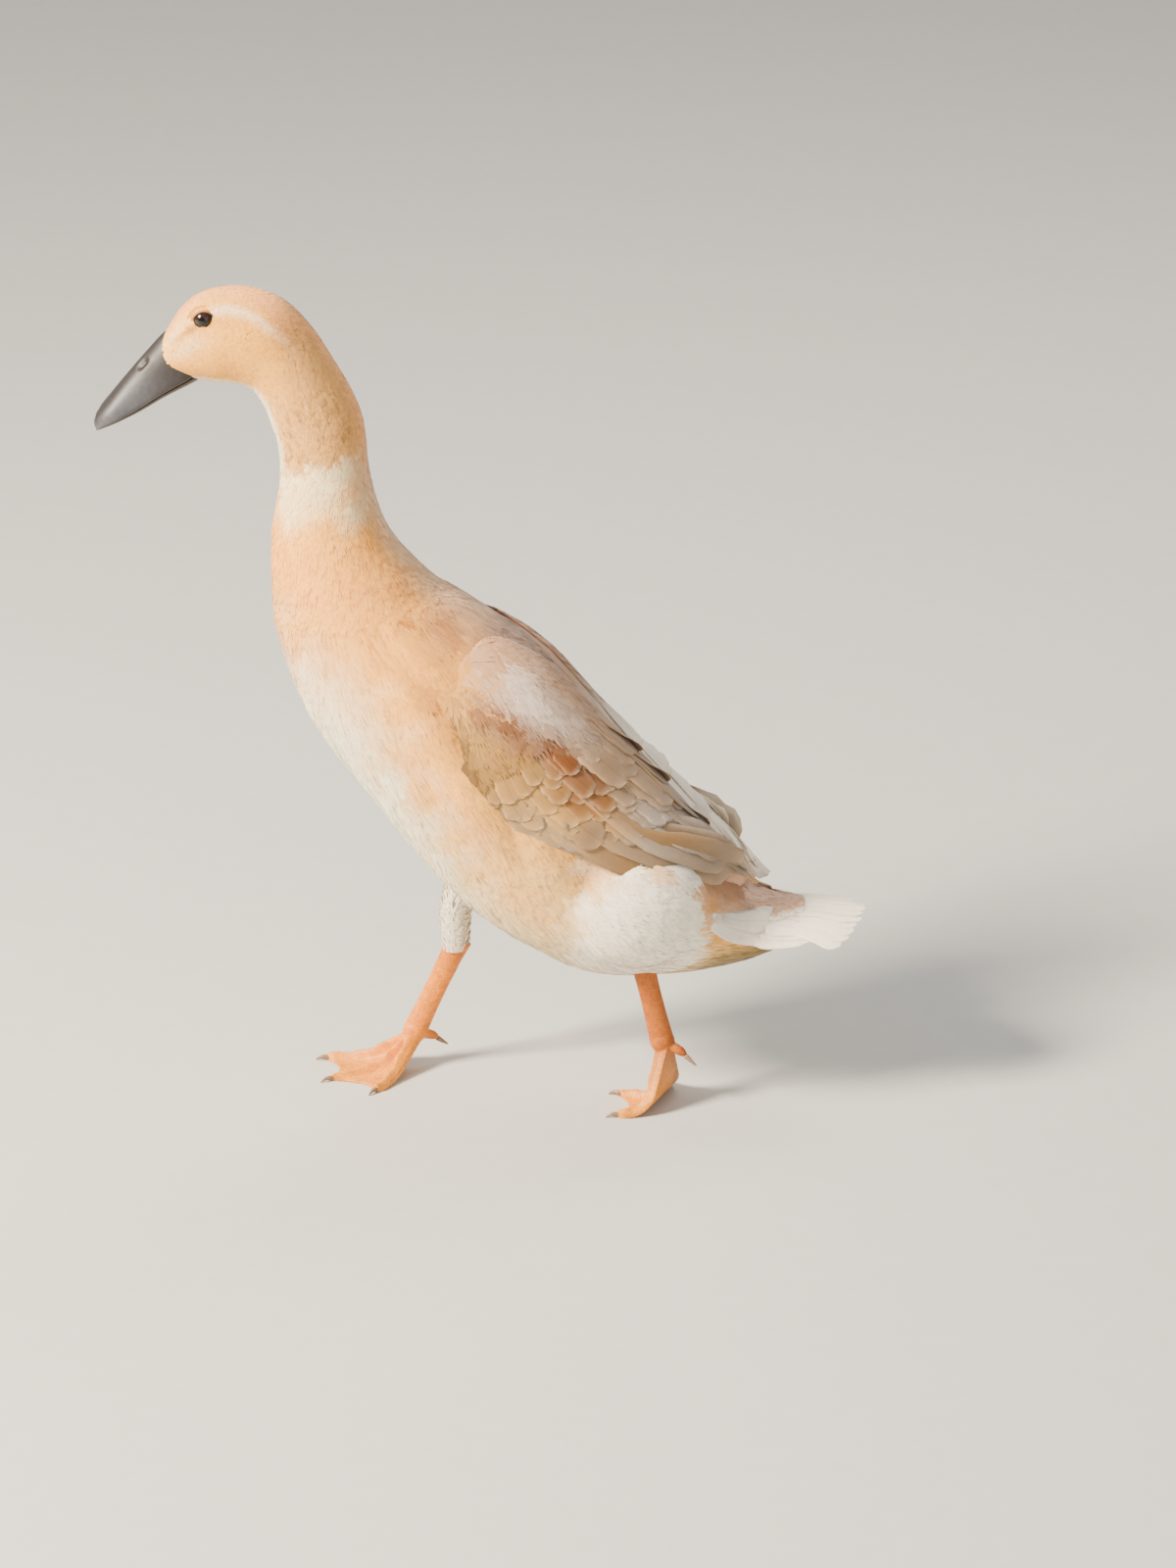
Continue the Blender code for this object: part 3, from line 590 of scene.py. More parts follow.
def joined(shapes):
    """Several shapes (points, quads and perhaps caps) as one."""
    starts = np.cumsum([0] + [len(shape[0]) for shape in shapes])
    points = np.vstack([shape[0] for shape in shapes])
    quads = np.vstack([shape[1] + start for shape, start in zip(shapes, starts)])
    caps = [shape[2] + start for shape, start in zip(shapes, starts) if len(shape) > 2]
    return points, quads, np.vstack(caps) if caps else ()


def fused(name, parts, voxel, smoothing):
    """Closed shapes melted into one skin: a voxel remesh of them all, then smoothed.

    Gives its points in millimetres and its faces.
    """
    piece = placed(name, mesh_of(name, *joined(parts)))
    remesh = piece.modifiers.new("fuse", "REMESH")
    remesh.mode = "VOXEL"
    remesh.voxel_size = voxel * MM
    smooth = piece.modifiers.new("smooth", "SMOOTH")
    smooth.factor = 0.5
    smooth.iterations = smoothing
    shown = piece.evaluated_get(bpy.context.evaluated_depsgraph_get()).to_mesh()
    places = np.empty(len(shown.vertices) * 3, np.float32)
    shown.vertices.foreach_get("co", places)
    faces = np.empty(len(shown.loops), np.int32)
    shown.loops.foreach_get("vertex_index", faces)
    bpy.data.objects.remove(piece)
    return places.reshape(-1, 3) / MM + ORIGIN, faces.reshape(-1, 4)


# Plumage

def spot(section, up, centre, size):
    """A soft blot round a place on the body: 1 in its middle, fading out."""
    return np.exp(-((section - centre[0]) / size[0]) ** 2 - ((up - centre[1]) / size[1]) ** 2)


def along_line(place, points):
    """Height of a line through points (place, height) at each place."""
    places, heights = zip(*points)
    return np.interp(place, places, heights)


def layer_on(colour):
    """A function that lays a paint over the colours, so far as its mask and its strength say."""

    def lay(paint, mask, full=1.0):
        share = (np.clip(mask, 0, 1) * full)[..., None]
        colour[:] = colour * (1 - share) + (tint(paint) if isinstance(paint, str) else paint) * share

    return lay


def plumage(section, angle, point):
    """Colour of the coat at a place on the body, the same on both sides but for its mottles.

    Starts from the cheek's fawn and lays each marking over what is there, through a soft mask of
    section, degrees up from the side, and blotches.
    """
    up = np.degrees(np.arcsin(np.sin(angle)))
    blotch = mottle(point, "body blotches")
    fleck = mottle(point, "body flecks")
    streak = np.sin(angle * 23 + 4 * blotch) * 0.5 + np.sin(angle * 57 + 3 * fleck) * 0.5
    colour = np.broadcast_to(tint("cheek"), point.shape).copy()
    lay = layer_on(colour)

    # The head
    cap = along_line(section, CAP_LINE)
    lay("crown", ease(up + 5 * blotch, cap - 7, cap + 9))
    lay("nape", spot(section, up, (6.4, 36.0), (1.3, 26.0)) * (0.85 + 0.15 * fleck), 0.95)
    brow = along_line(section, BROW_LINE)
    lay("brow", spot(section, up - brow, (4.0, 0.0), (1.7, 6.5)), 0.9)
    lay("brow", spot(section, up, (0.9, 46.0), (1.1, 16.0)), 0.45)
    lores = along_line(section, ((0.5, 36), (2.8, 33)))
    lay("lores", spot(section, up - lores, (1.9, 0.0), (1.0, 5.5)), 0.95)
    lay("brow", spot(section, up, (1.3, 14.0), (1.3, 12.0)), 0.5)
    lay("lores", spot(section, up, (5.7, 6.0), (0.4, 5.0)) * (0.6 + 0.4 * fleck), 0.3)

    # The neck
    lay("upper neck", ease(section + 0.25 * blotch, 5.8, 7.8) * (1 - ease(up, 45, 80)), 0.9)
    lay("nape", ease(section, 6.6, 7.6) * np.exp(-((up - 8.0) / 45.0) ** 2) * ease(blotch, -0.6, 0.9), 0.3)
    streaked = ease(streak + 0.5 * fleck, 0.0, 1.1) * (1 - ease(up, 30, 65))
    lay("streak", ease(section, 7.0, 8.4) * streaked, 0.75)
    chin = along_line(section, CHIN_LINE)
    lay("throat", 1 - ease(up + 4 * blotch, chin - 12, chin + 6))
    ragged = section + 0.10 * streak + 0.07 * fleck - 0.2 * ease(up, 40, 85)
    lay("ring", ease(ragged, 9.25, 9.48 + 0.5 * ease(up, 30, 80)))
    lay("hind neck", ease(section, 9.0, 9.8) * ease(up + 8 * blotch, 22, 62), 0.85)
    lay("peach", ease(section + 0.3 * blotch, 9.7, 10.8) * (1 - ease(up, 40, 80)), 0.9)
    mottled = ease(blotch + 0.5 * fleck, 0.2, 1.1)
    lay("mottle", ease(section, 10.6, 11.4) * (1 - ease(section, 12.8, 13.8)) * mottled, 0.5)

    # The breast, flank and belly
    front = -22 - 10 * ease(section, 13.0, 15.0)
    lay("front", ease(section + 0.4 * blotch, 11.4, 14.3)
        * (1 - ease(up + 12 * blotch, front - 34, front + 22)))
    lay("flank", ease(section + 0.3 * blotch, 12.9, 14.2) * ease(up + 10 * blotch, front - 16, front + 38)
        * (1 - ease(up, 35, 60)), 0.8)
    lay("belly", ease(section + 0.4 * blotch, 14.6, 16.6) * (1 - ease(up, -16, 20)), 0.8)
    lay("flank", spot(section, up, (16.0, -30.0), (1.3, 16.0)), 0.5)
    lay("mottle", spot(section, up, (13.6, 3.0), (0.5, 9.0)) * (0.7 + 0.5 * blotch), 0.7)

    # The back
    lay("mantle", ease(section + 0.3 * blotch, 11.6, 13.2) * ease(up + 9 * blotch, 18, 48), 0.9)
    lay("back", ease(section + 0.3 * blotch, 12.0, 13.4) * ease(up + 9 * blotch, 40, 74), 0.85)
    lay("mottle", spot(section, up, (12.7, 46.0), (0.6, 14.0)) * ease(blotch, -0.8, 0.5), 0.6)
    for centre, size in RUSTY_SPOTS:
        lay("spot", spot(section, up, centre, size), 0.8)

    # The thighs, rump and vent
    fore = along_line(up, THIGH_PATCH_FRONT)
    rear = along_line(up, THIGH_PATCH_REAR)
    # Beneath the rump, behind the thighs, the tan is painted dark: painted shade under the body and tail.
    lay("undertail", ease(section + 0.3 * blotch, 19.3, 20.8) * (1 - ease(up, -25, 24)), 0.85)
    lay("rump", ease(section + 0.3 * blotch, 18.3, 19.4) * ease(up + 7 * blotch, 22, 38))
    lay("rump tips", ease(section, 19.0, 20.0) * ease(fleck, -0.2, 0.8) * ease(up, 22, 40)
        * (1 - ease(up, 60, 85)), 0.75)
    edge = along_line(section, WHITE_BAND_EDGE)
    crest = along_line(section, WHITE_BAND_CREST)
    lay("tail", ease(section, 18.9, 19.2) * ease(up, edge - 4, edge)
        * (1 - ease(up + 3 * fleck, crest - 3, crest + 3)))
    lay("thigh", ease(section + 0.25 * blotch, fore - 0.6, fore + 0.4)
        * (1 - ease(section, rear - 0.25, rear + 0.05)) * (1 - ease(up, 46, 58)) * ease(up, -75, -50))
    lay("tail", ease(section + 0.15 * fleck, 22.0, 22.5) * ease(up, -5, 20))
    return colour * (1 + 0.05 * fleck + 0.03 * blotch)[..., None]


def wing_colour(side, along, across):
    """Colour of the folded wing at a place on it, and how far its feathers are rimmed with white.

    The scapulars lie above a line that falls back from the shoulder, the small coverts below it,
    with rusty feathers along it; behind them come grey tertials and the flight feathers.
    """
    section, angle = wing_place(side, np.clip(along, 0, 1), np.clip(across, 0, 1))
    shade = plumage(section, angle, body_point(section, angle))
    point = np.stack((along * 230, across * 100, 0 * along), axis=-1)
    blotch = mottle(point, "wing blotches")
    colour = np.broadcast_to(tint("tertial"), shade.shape).copy()
    lay = layer_on(colour)
    line = 0.17 + 1.13 * (along - 0.14)
    above = ease(across - line + 0.04 * blotch, -0.05, 0.07)
    coverts = 1 - ease(along + 0.015 * blotch, 0.42, 0.48)
    lay("pale tertial", spot(along, across, (0.48, 0.64), (0.10, 0.14)))
    lay("tan tertial", spot(along, across, (0.56, 0.20), (0.16, 0.13)))
    lay("secondary", spot(along, across, (0.48, 0.08), (0.10, 0.10)))
    lay("primary", ease(along, 0.78, 0.9))
    lay("lesser covert", (1 - above) * coverts)
    lay("mantle", above * (1 - ease(along + 0.03 * blotch, 0.26, 0.38)))
    lay("scapular ends", ease(along + 0.05 * blotch, 0.16, 0.34) * above * coverts, 0.55)
    white = spot(along, across + 0.05 * blotch, (0.225, 0.58), (0.12, 0.17))
    lay("scapular", 1.3 * white * ease(above, 0.2, 1.0), 0.95)
    lay("scapular ends", spot(along, across, (0.385, 0.70), (0.055, 0.15)), 0.8)
    lay("tan tertial", spot(along, across, (0.36, 0.57), (0.05, 0.07)), 0.7)
    for centre, size, full in RUSTY_COVERTS:
        lay("rust", spot(along, across, centre, size) * (1.15 + 0.3 * blotch), full)
    lay("crescent", spot(along, across, (0.405, 0.05), (0.05, 0.06)), 0.6)
    # On the far wing the upper rear feathers are painted pale: partly their own pale edges, partly painted
    # light lifting the shade that lies on them.
    if side == "right":
        lay("tail", ease(across + 0.5 * ease(along, 0.5, 0.7), 0.55, 0.72) * ease(along, 0.28, 0.40), 0.85)
    lay("shoulder", spot(along, across, (0.13, 0.18), (0.06, 0.14)), 0.7)
    lay(shade, ease(across + 0.06 * blotch, 0.74, 1.0) * (1 - ease(along, 0.22, 0.38)), 0.9)
    lay(shade, 1 - ease(along + 0.03 * blotch, 0.02, 0.17))
    # Painted shadow: a dark band along the wing's lower edge, where the flank's feathers fold over it.
    lay("crease", (1 - ease(across, 0.03, 0.15)) * ease(along, 0.08, 0.16)
        * (1 - ease(along, 0.38, 0.5)), 0.75)
    rim = 0.12 + 0.4 * spot(along, across, (0.37, 0.42), (0.12, 0.25))
    return colour * (1 + 0.05 * blotch)[..., None], rim


def roots_over(surface, first, last, spacing, rng):
    """Places for tufts all over a surface, in rows across its first parameter.

    The rows are one spacing apart where the surface is longest. Along a row the places are one
    spacing apart, and where rows crowd together some are dropped, so the cover stays even.
    """
    low, step = surface.low, surface.step
    firsts = np.linspace(first, last, 260)
    turns = low[1] + step[1] * np.arange(surface.grid.shape[1])
    table = np.stack(lattice(firsts, turns), axis=-1)
    _, _, along, across = surface.at(table)
    speed = np.linalg.norm(along, axis=-1)
    longest = speed.max(axis=1)
    gaps = spacing(firsts)
    count = np.concatenate(([0], np.cumsum(longest[:-1] / gaps[:-1] * (firsts[1] - firsts[0]))))
    girth = np.cumsum(np.linalg.norm(across, axis=-1) * step[1], axis=1)
    places = []
    for row in range(int(count[-1])):
        section = np.interp(row + 0.5, count, firsts)
        k = int(np.searchsorted(firsts, section).clip(0, len(firsts) - 1))
        gap = gaps[k]
        arcs = np.arange(0.0, girth[k, -1], gap)
        arcs += gap * (0.5 * (row % 2) + rng.uniform(-0.3, 0.3, len(arcs)))
        turn = np.interp(arcs, girth[k], turns)
        keep = rng.uniform(size=len(arcs)) < np.interp(turn, turns, speed[k]) / longest[k]
        shift = rng.uniform(-0.35, 0.35, keep.sum()) * gap / longest[k]
        places.append(np.column_stack((section + shift, turn[keep])))
    return np.vstack(places)


BLADE_STEPS = np.array((0.0, 0.45, 0.8, 1.0))      # along a blade from its root
BLADE_WIDTHS = np.array((0.6, 1.0, 0.75))
BLADE_POINTS = 7        # two at each step but the last


def tuft_shape(blades):
    """Outline of one tuft: blades fanned from a root, as (x from -1 to 1, y from 0 to 1, fan)."""
    rows = []
    for fan in np.linspace(-1, 1, blades):
        for step, width in zip(BLADE_STEPS, BLADE_WIDTHS):
            for edge in (-1, 1):
                rows.append((fan * (0.35 + 0.65 * step) + edge * width * 1.35 / blades, step, fan))
        rows.append((fan, 1.0, fan))
    shape = np.array(rows)
    shape[:, 1] *= 1 - 0.22 * shape[:, 2] ** 2
    quads, triangles = [], []
    for blade in range(blades):
        start = blade * BLADE_POINTS
        quads += [(start, start + 1, start + 3, start + 2), (start + 2, start + 3, start + 5, start + 4)]
        triangles.append((start + 4, start + 5, start + 6))
    return shape, np.array(quads), np.array(triangles)


def tufts(surface, roots, course, size, blades, rng):
    """Tufts laid on a surface: each blade rises from the skin and lies down along the coat.

    A local step in millimetres becomes a step of the surface's parameters through its slopes at
    the root. The height runs from the skin up to the coat's outline by 1 - (1 - y) squared.
    """
    length, half_width, depth = size
    shape, quads, triangles = tuft_shape(blades)
    _, normal, along, across = surface.at(roots)
    ahead = unit(along)
    beside = np.cross(normal, ahead)
    turn = course + rng.normal(0, 0.09, len(roots))
    forward = ahead * np.cos(turn)[:, None] + beside * np.sin(turn)[:, None]
    sideways = np.cross(normal, forward)

    def steps(direction):
        pairs = ((along, along), (along, across), (across, across))
        aa, ab, bb = (np.sum(p * q, axis=-1) for p, q in pairs)
        pa, pb = np.sum(along * direction, axis=-1), np.sum(across * direction, axis=-1)
        det = np.maximum(aa * bb - ab * ab, 1e-9)
        return np.stack(((bb * pa - ab * pb) / det, (aa * pb - ab * pa) / det), axis=-1)

    jitter = np.clip(rng.normal(1, 0.12, (len(roots), blades)), 0.75, 1.25)
    jitter = jitter.repeat(BLADE_POINTS, axis=1)
    x = shape[None, :, 0] * half_width[:, None]
    y = shape[None, :, 1] * length[:, None] * jitter
    place = (roots[:, None] + y[..., None] * steps(forward)[:, None]
             + x[..., None] * steps(sideways)[:, None])
    point, local, _, _ = surface.at(place)
    rise = 1 - (1 - shape[:, 1]) ** 2
    arch = -0.12 * shape[:, 2] ** 2
    height = depth[:, None] * (rise - 1 + arch - 0.10 * (shape[:, 1] > 0.95))
    height = height + depth[:, None] * 0.12 * rng.normal(size=(len(roots), 1))
    points = point + normal[:, None] * height[..., None]
    offsets = (np.arange(len(roots)) * len(shape))[:, None, None]
    faces = (quads[None] + offsets).reshape(-1, 4), (triangles[None] + offsets).reshape(-1, 3)
    return points.reshape(-1, 3), faces, local.reshape(-1, 3), np.tile(shape, (len(roots), 1))


def soften(mesh, normals, share):
    """Shade each tuft mostly as the coat lies: its own normals mixed with the surface's."""
    own = np.empty(len(mesh.vertices) * 3, np.float32)
    mesh.vertices.foreach_get("normal", own)
    own = own.reshape(-1, 3)
    own *= np.sign(np.sum(own * normals, axis=-1, keepdims=True) + 1e-6)
    mesh.normals_split_custom_set_from_vertices(unit(own * (1 - share) + normals * share).tolist())


def on_map(across, up):
    """Places on the OFBake map from shares of the unwrapped surface, a little in from the map's edge."""
    return 0.02 + 0.94 * np.column_stack((across, up))


def coat_piece(name, surface, roots, course, size, blades, colour_of, bake, material, seed):
    """A piece of the coat: tufts of one build, coloured at their roots."""
    rng = np.random.default_rng(seed)
    points, (quads, triangles), normals, shape = tufts(surface, roots, course, size, blades, rng)
    each = len(shape) // len(roots)
    colour = np.repeat(colour_of(roots), each, axis=0)
    # Each tuft's tone and each blade's vary at random; along a tuft the tone runs from darker at the root,
    # painted shade under the tufts that lie over it, to lighter at the tip.
    shade = rng.normal(0, 0.05, len(roots)).repeat(each) + 0.10 * (shape[:, 1] - 0.6)
    shade += rng.normal(0, 0.03, len(colour) // BLADE_POINTS).repeat(BLADE_POINTS)
    mesh = mesh_of(name, points, quads[:, ::-1], triangles[:, ::-1])
    set_colour(mesh, np.clip(colour * (1 + shade)[:, None], 0, 1))
    set_map(mesh, "OFBake", np.repeat(bake(roots), each, axis=0) + PATCH * shape[:, :2] * (0.5, 1.0))
    soften(mesh, normals, 0.75)
    add_piece(name, mesh, [material])


def inside(place, outline):
    """Whether places lie inside a closed outline: an odd number of its edges pass to one side."""
    x, y = place[:, 0, None], place[:, 1, None]
    start, end = outline, np.roll(outline, -1, axis=0)
    crosses = (start[:, 1] > y) != (end[:, 1] > y)
    slope = (end[:, 0] - start[:, 0]) / np.where(end[:, 1] == start[:, 1], 1e-9, end[:, 1] - start[:, 1])
    return (crosses & (x < start[:, 0] + (y - start[:, 1]) * slope)).sum(axis=1) % 2 == 1


def wing_outline(side, shrink):
    """Outline of the wing in section and angle, drawn in towards its middle by a share."""
    along = np.linspace(0, 1, 30)
    lower = np.column_stack(wing_place(side, along, np.zeros(30)))
    upper = np.column_stack(wing_place(side, along, np.ones(30)))
    outline = np.vstack((lower, upper[::-1]))
    return outline + (outline.mean(0) - outline) * shrink


def shows(roots, point, length):
    """Whether a tuft of the body can be seen: not on the bill, not over an eye, not under a wing."""
    border = np.interp(point[:, 2], *zip(*FACE_BORDER))
    clear = (point[:, 1] > border) | (point[:, 2] > FACE_BORDER[-1][0])
    clear &= (point[:, 1] > FACE_BORDER[0][1]) | (point[:, 2] > FACE_BORDER[0][0])
    offset = point[:, 1:] - np.array(EYE_PLACE[1:]) + np.column_stack((0.5 * length, 0 * length))
    half_length = EYE_OPENING[0] + EYE_MARGIN + 0.5 * length
    half_height = EYE_OPENING[1] + EYE_MARGIN
    reach = np.hypot(offset[:, 0] / half_length, offset[:, 1] / half_height)
    clear &= (reach > 1) | (point[:, 1] > EYE_PLACE[1] + 30)
    turn = np.mod(roots[:, 1] + math.pi / 2, 2 * math.pi) - math.pi / 2
    for side in LEGS:
        clear &= ~inside(np.column_stack((roots[:, 0], turn)), wing_outline(side, WING_COVER))
    return clear


def make_coat(body, material):
    """The body's coat, from the small tufts of the face to the long ones of the belly."""
    sections = np.array([row[0] for row in COAT])

    def size_at(section, column):
        return np.interp(section, sections, [row[column] for row in COAT])

    for number, (name, (first, last, slot)) in enumerate(COAT_PIECES.items()):
        rng = np.random.default_rng(SEEDS["body roots"] + number)
        roots = roots_over(body, first, last, lambda s: size_at(s, 1), rng)
        roots[:, 0] = np.clip(roots[:, 0], 0.02, LAST - 0.02)
        point = body.at(roots)[0]
        length = size_at(roots[:, 0], 2)
        roots, point, length = (part[shows(roots, point, length)] for part in (roots, point, length))
        size = (length, size_at(roots[:, 0], 3), size_at(roots[:, 0], 4))
        up = np.sin(roots[:, 1])
        # Feathers on the flanks lie a little upwards, towards the wing, and on the back straight.
        side = np.sign(np.cos(roots[:, 1]))
        course = 0.12 * side * np.cos(up * 1.4) * ease(roots[:, 0], 12, 14)
        blades = int(round(size_at((first + last) / 2, 5)))

        def colour_of(places):
            return plumage(places[:, 0], places[:, 1], body.at(places)[0])

        def bake(places):
            turn = np.mod(places[:, 1] + math.pi / 2, 2 * math.pi) / (2 * math.pi)
            return on_map(turn, (places[:, 0] - first) / (last - first))

        seed = SEEDS["body tufts"] + number
        coat_piece(name, body, roots, course, size, blades, colour_of, bake, material, seed)


def make_thigh_coat(side, leg, surface, material):
    """White down of the lower thigh, from under the belly to the hock."""
    rng = np.random.default_rng(SEEDS["thigh roots"] + leg["side"])
    roots = roots_over(surface, *THIGH_RANGE, lambda s: np.interp(s, *THIGH_SPACING), rng)
    roots = roots[surface.at(roots)[0][:, 2] < SLEEVE_TOPS[side]]
    level = roots[:, 0]
    ragged = 1 + 0.5 * rng.uniform(-1, 1, len(roots)) * ease(level, 2.5, 2.9)
    length, half_width, depth = (np.interp(level, (1, 2, 3), sizes) for sizes in THIGH_TUFTS)
    size = (length * ragged, half_width, depth)

    def colour_of(places):
        point = surface.at(places)[0]
        warm = ease(point[:, 2], leg["hock"][2] + 9.0, leg["hock"][2])[:, None]
        base = tint("thigh") * (1 + 0.05 * mottle(point, "thigh"))[:, None]
        return base * (1 - 0.35 * warm) + 0.35 * warm * tint("rump tips")

    def bake(places):
        turn = np.mod(places[:, 1], 2 * math.pi) / (2 * math.pi)
        return on_map(turn, (places[:, 0] - THIGH_MAP[0]) / (THIGH_MAP[1] - THIGH_MAP[0]))

    course = np.zeros(len(roots))
    coat_piece("coat_thigh_" + side, surface, roots, course, size, THIGH_BLADES, colour_of, bake,
               material, SEEDS["thigh tufts"] + leg["side"])


VANE_ROWS = 15          # points along a wing or tail feather
VANE_COLUMNS = 9        # and across it
VANE_THICKNESS = 0.25


def vane_lattice():
    """Shares along (0 at the root) and across (-1 to 1) for one feather."""
    along = 1 - (1 - np.linspace(0, 1, VANE_ROWS)) ** 1.4
    return lattice(along, np.linspace(-1, 1, VANE_COLUMNS))


def vanes(surface, starts, ends, half_width, height, rng, tip, camber=0.10, tilt=0.0):
    """Large feathers: closed thin sheets from their roots to their tips over a surface.

    The shaft runs straight through the surface's parameters. The half width widens over the first
    third and ends in an ellipse past the share tip. Across, the vane curves down by camber times
    the square of the share, and lies tilted on its neighbour.
    """
    t, x = vane_lattice()
    shaft = t[:, 0]
    place = starts[:, None] + (ends - starts)[:, None] * shaft[None, :, None]
    centre, normal, _, _ = surface.at(place)
    ahead = unit(np.gradient(centre, axis=1))
    sideways = np.cross(normal, ahead)
    grow = 0.45 + 0.55 * ease(shaft, -0.1, 0.4)
    round_off = np.sqrt(np.clip(1 - np.clip((shaft - tip) / (1 - tip), 0, 1) ** 2.2, 0, 1))
    ragged = 1 + 0.05 * rng.normal(size=(len(starts), VANE_ROWS, VANE_COLUMNS)) * (np.abs(x) > 0.9)
    width = half_width[:, None, None] * (grow * round_off)[None, :, None] * x[None] * ragged
    rise = height[:, None, None] + tilt * x[None] - 1.6 * (1 - t[None]) ** 2
    rise = rise - camber * half_width[:, None, None] * (x * x)[None] * round_off[None, :, None]
    rise = rise + 0.22 * rng.normal(size=(len(starts), 1, 1))
    normal = normal[:, :, None]
    top = centre[:, :, None] + sideways[:, :, None] * width[..., None] + normal * rise[..., None]
    under = top - normal * VANE_THICKNESS
    one, quads = slab_mesh(top[0], under[0])
    points = np.stack((top, under), axis=1).reshape(-1, 3)
    offsets = (np.arange(len(starts)) * len(one))[:, None, None]
    length = np.linalg.norm(np.diff(centre, axis=1), axis=-1).sum(axis=1)
    across = np.broadcast_to(x[None, None], (len(starts), 2) + x.shape)
    along = np.broadcast_to(t[None, None], across.shape)
    reach = along * length[:, None, None, None]
    wide = across * half_width[:, None, None, None]
    places = np.broadcast_to(place[:, None, :, None], (len(starts), 2) + x.shape + (2,)).reshape(-1, 2)
    faces = (quads[None] + offsets).reshape(-1, 4)
    return points, faces, across.ravel(), along.ravel(), reach.ravel(), wide.ravel(), places


# The wing's large feathers, row by row from the lowest layer to the top one: tips from the first
# to the last place (share along the wing, share up across it), how many, length, half width,
# height over the wing, and how far the root lies higher across.
WING_ROWS = (
    ((0.97, 0.70), (0.86, 0.40), 6, 105.0, 6.5, -2.6, 0.10),       # primaries
    ((0.80, 0.10), (0.45, 0.03), 9, 80.0, 9.0, -2.2, 0.22),        # secondaries
    ((0.88, 0.62), (0.60, 0.99), 6, 110.0, 10.0, -1.8, 0.03),      # inner feathers
    ((0.84, 0.10), (0.55, 0.92), 6, 105.0, 15.0, -0.9, 0.14),      # tertials
    ((0.475, 0.02), (0.50, 0.84), 11, 42.0, 9.5, -0.7, 0.04),      # greater coverts
    ((0.43, 0.03), (0.44, 0.80), 12, 32.0, 8.0, -0.4, 0.03),       # median coverts
    ((0.385, 0.01), (0.40, 0.74), 13, 25.0, 7.0, -0.15, 0.02),     # lesser coverts
    ((0.345, 0.01), (0.36, 0.66), 13, 21.0, 6.2, 0.1, 0.02),
    ((0.47, 0.72), (0.44, 1.00), 6, 52.0, 11.0, 0.1, 0.03),        # ends of the scapulars
    ((0.405, 0.62), (0.39, 1.00), 7, 44.0, 10.0, 0.4, 0.03),
)
LONGEST_ROW = max(row[2] for row in WING_ROWS)


# The shoulder's tufts: shares along the wing, and at these distance apart, length and half width.
SHOULDER_RANGE = (0.06, 0.36)
SHOULDER_PLACES = (0.0, 0.1, 0.3)
SHOULDER_TUFTS = ((2.2, 2.5, 2.9), (12.0, 15.0, 19.0), (3.0, 3.6, 4.4))
SHOULDER_DEPTH = 1.6
SHOULDER_MAP = 0.4      # share along the wing at the end of its map
SHOULDER_BLADES = 7


def wing_coat(side, surface, material):
    """Small soft feathers of the shoulder, the scapulars and the front coverts."""
    rng = np.random.default_rng(SEEDS["shoulder roots"] + (side == "left"))
    apart, length, half_width = SHOULDER_TUFTS
    roots = roots_over(
        surface, *SHOULDER_RANGE, lambda along: np.interp(along, SHOULDER_PLACES, apart), rng)
    roots = roots[(roots[:, 0] < 0.27 + 0.09 * ease(roots[:, 1], 0.45, 0.6)) & (roots[:, 1] < 0.985)]
    along = roots[:, 0]
    size = (np.interp(along, SHOULDER_PLACES, length), np.interp(along, SHOULDER_PLACES, half_width),
            np.full(len(roots), SHOULDER_DEPTH))

    def colour_of(places):
        return wing_colour(side, places[:, 0] + 0.03, places[:, 1])[0]

    def bake(places):
        return on_map(places[:, 1], places[:, 0] / SHOULDER_MAP)

    course = np.zeros(len(roots))
    coat_piece("coat_wing_" + side, surface, roots, course, size, SHOULDER_BLADES, colour_of, bake,
               material, SEEDS["shoulder tufts"] + (side == "left"))


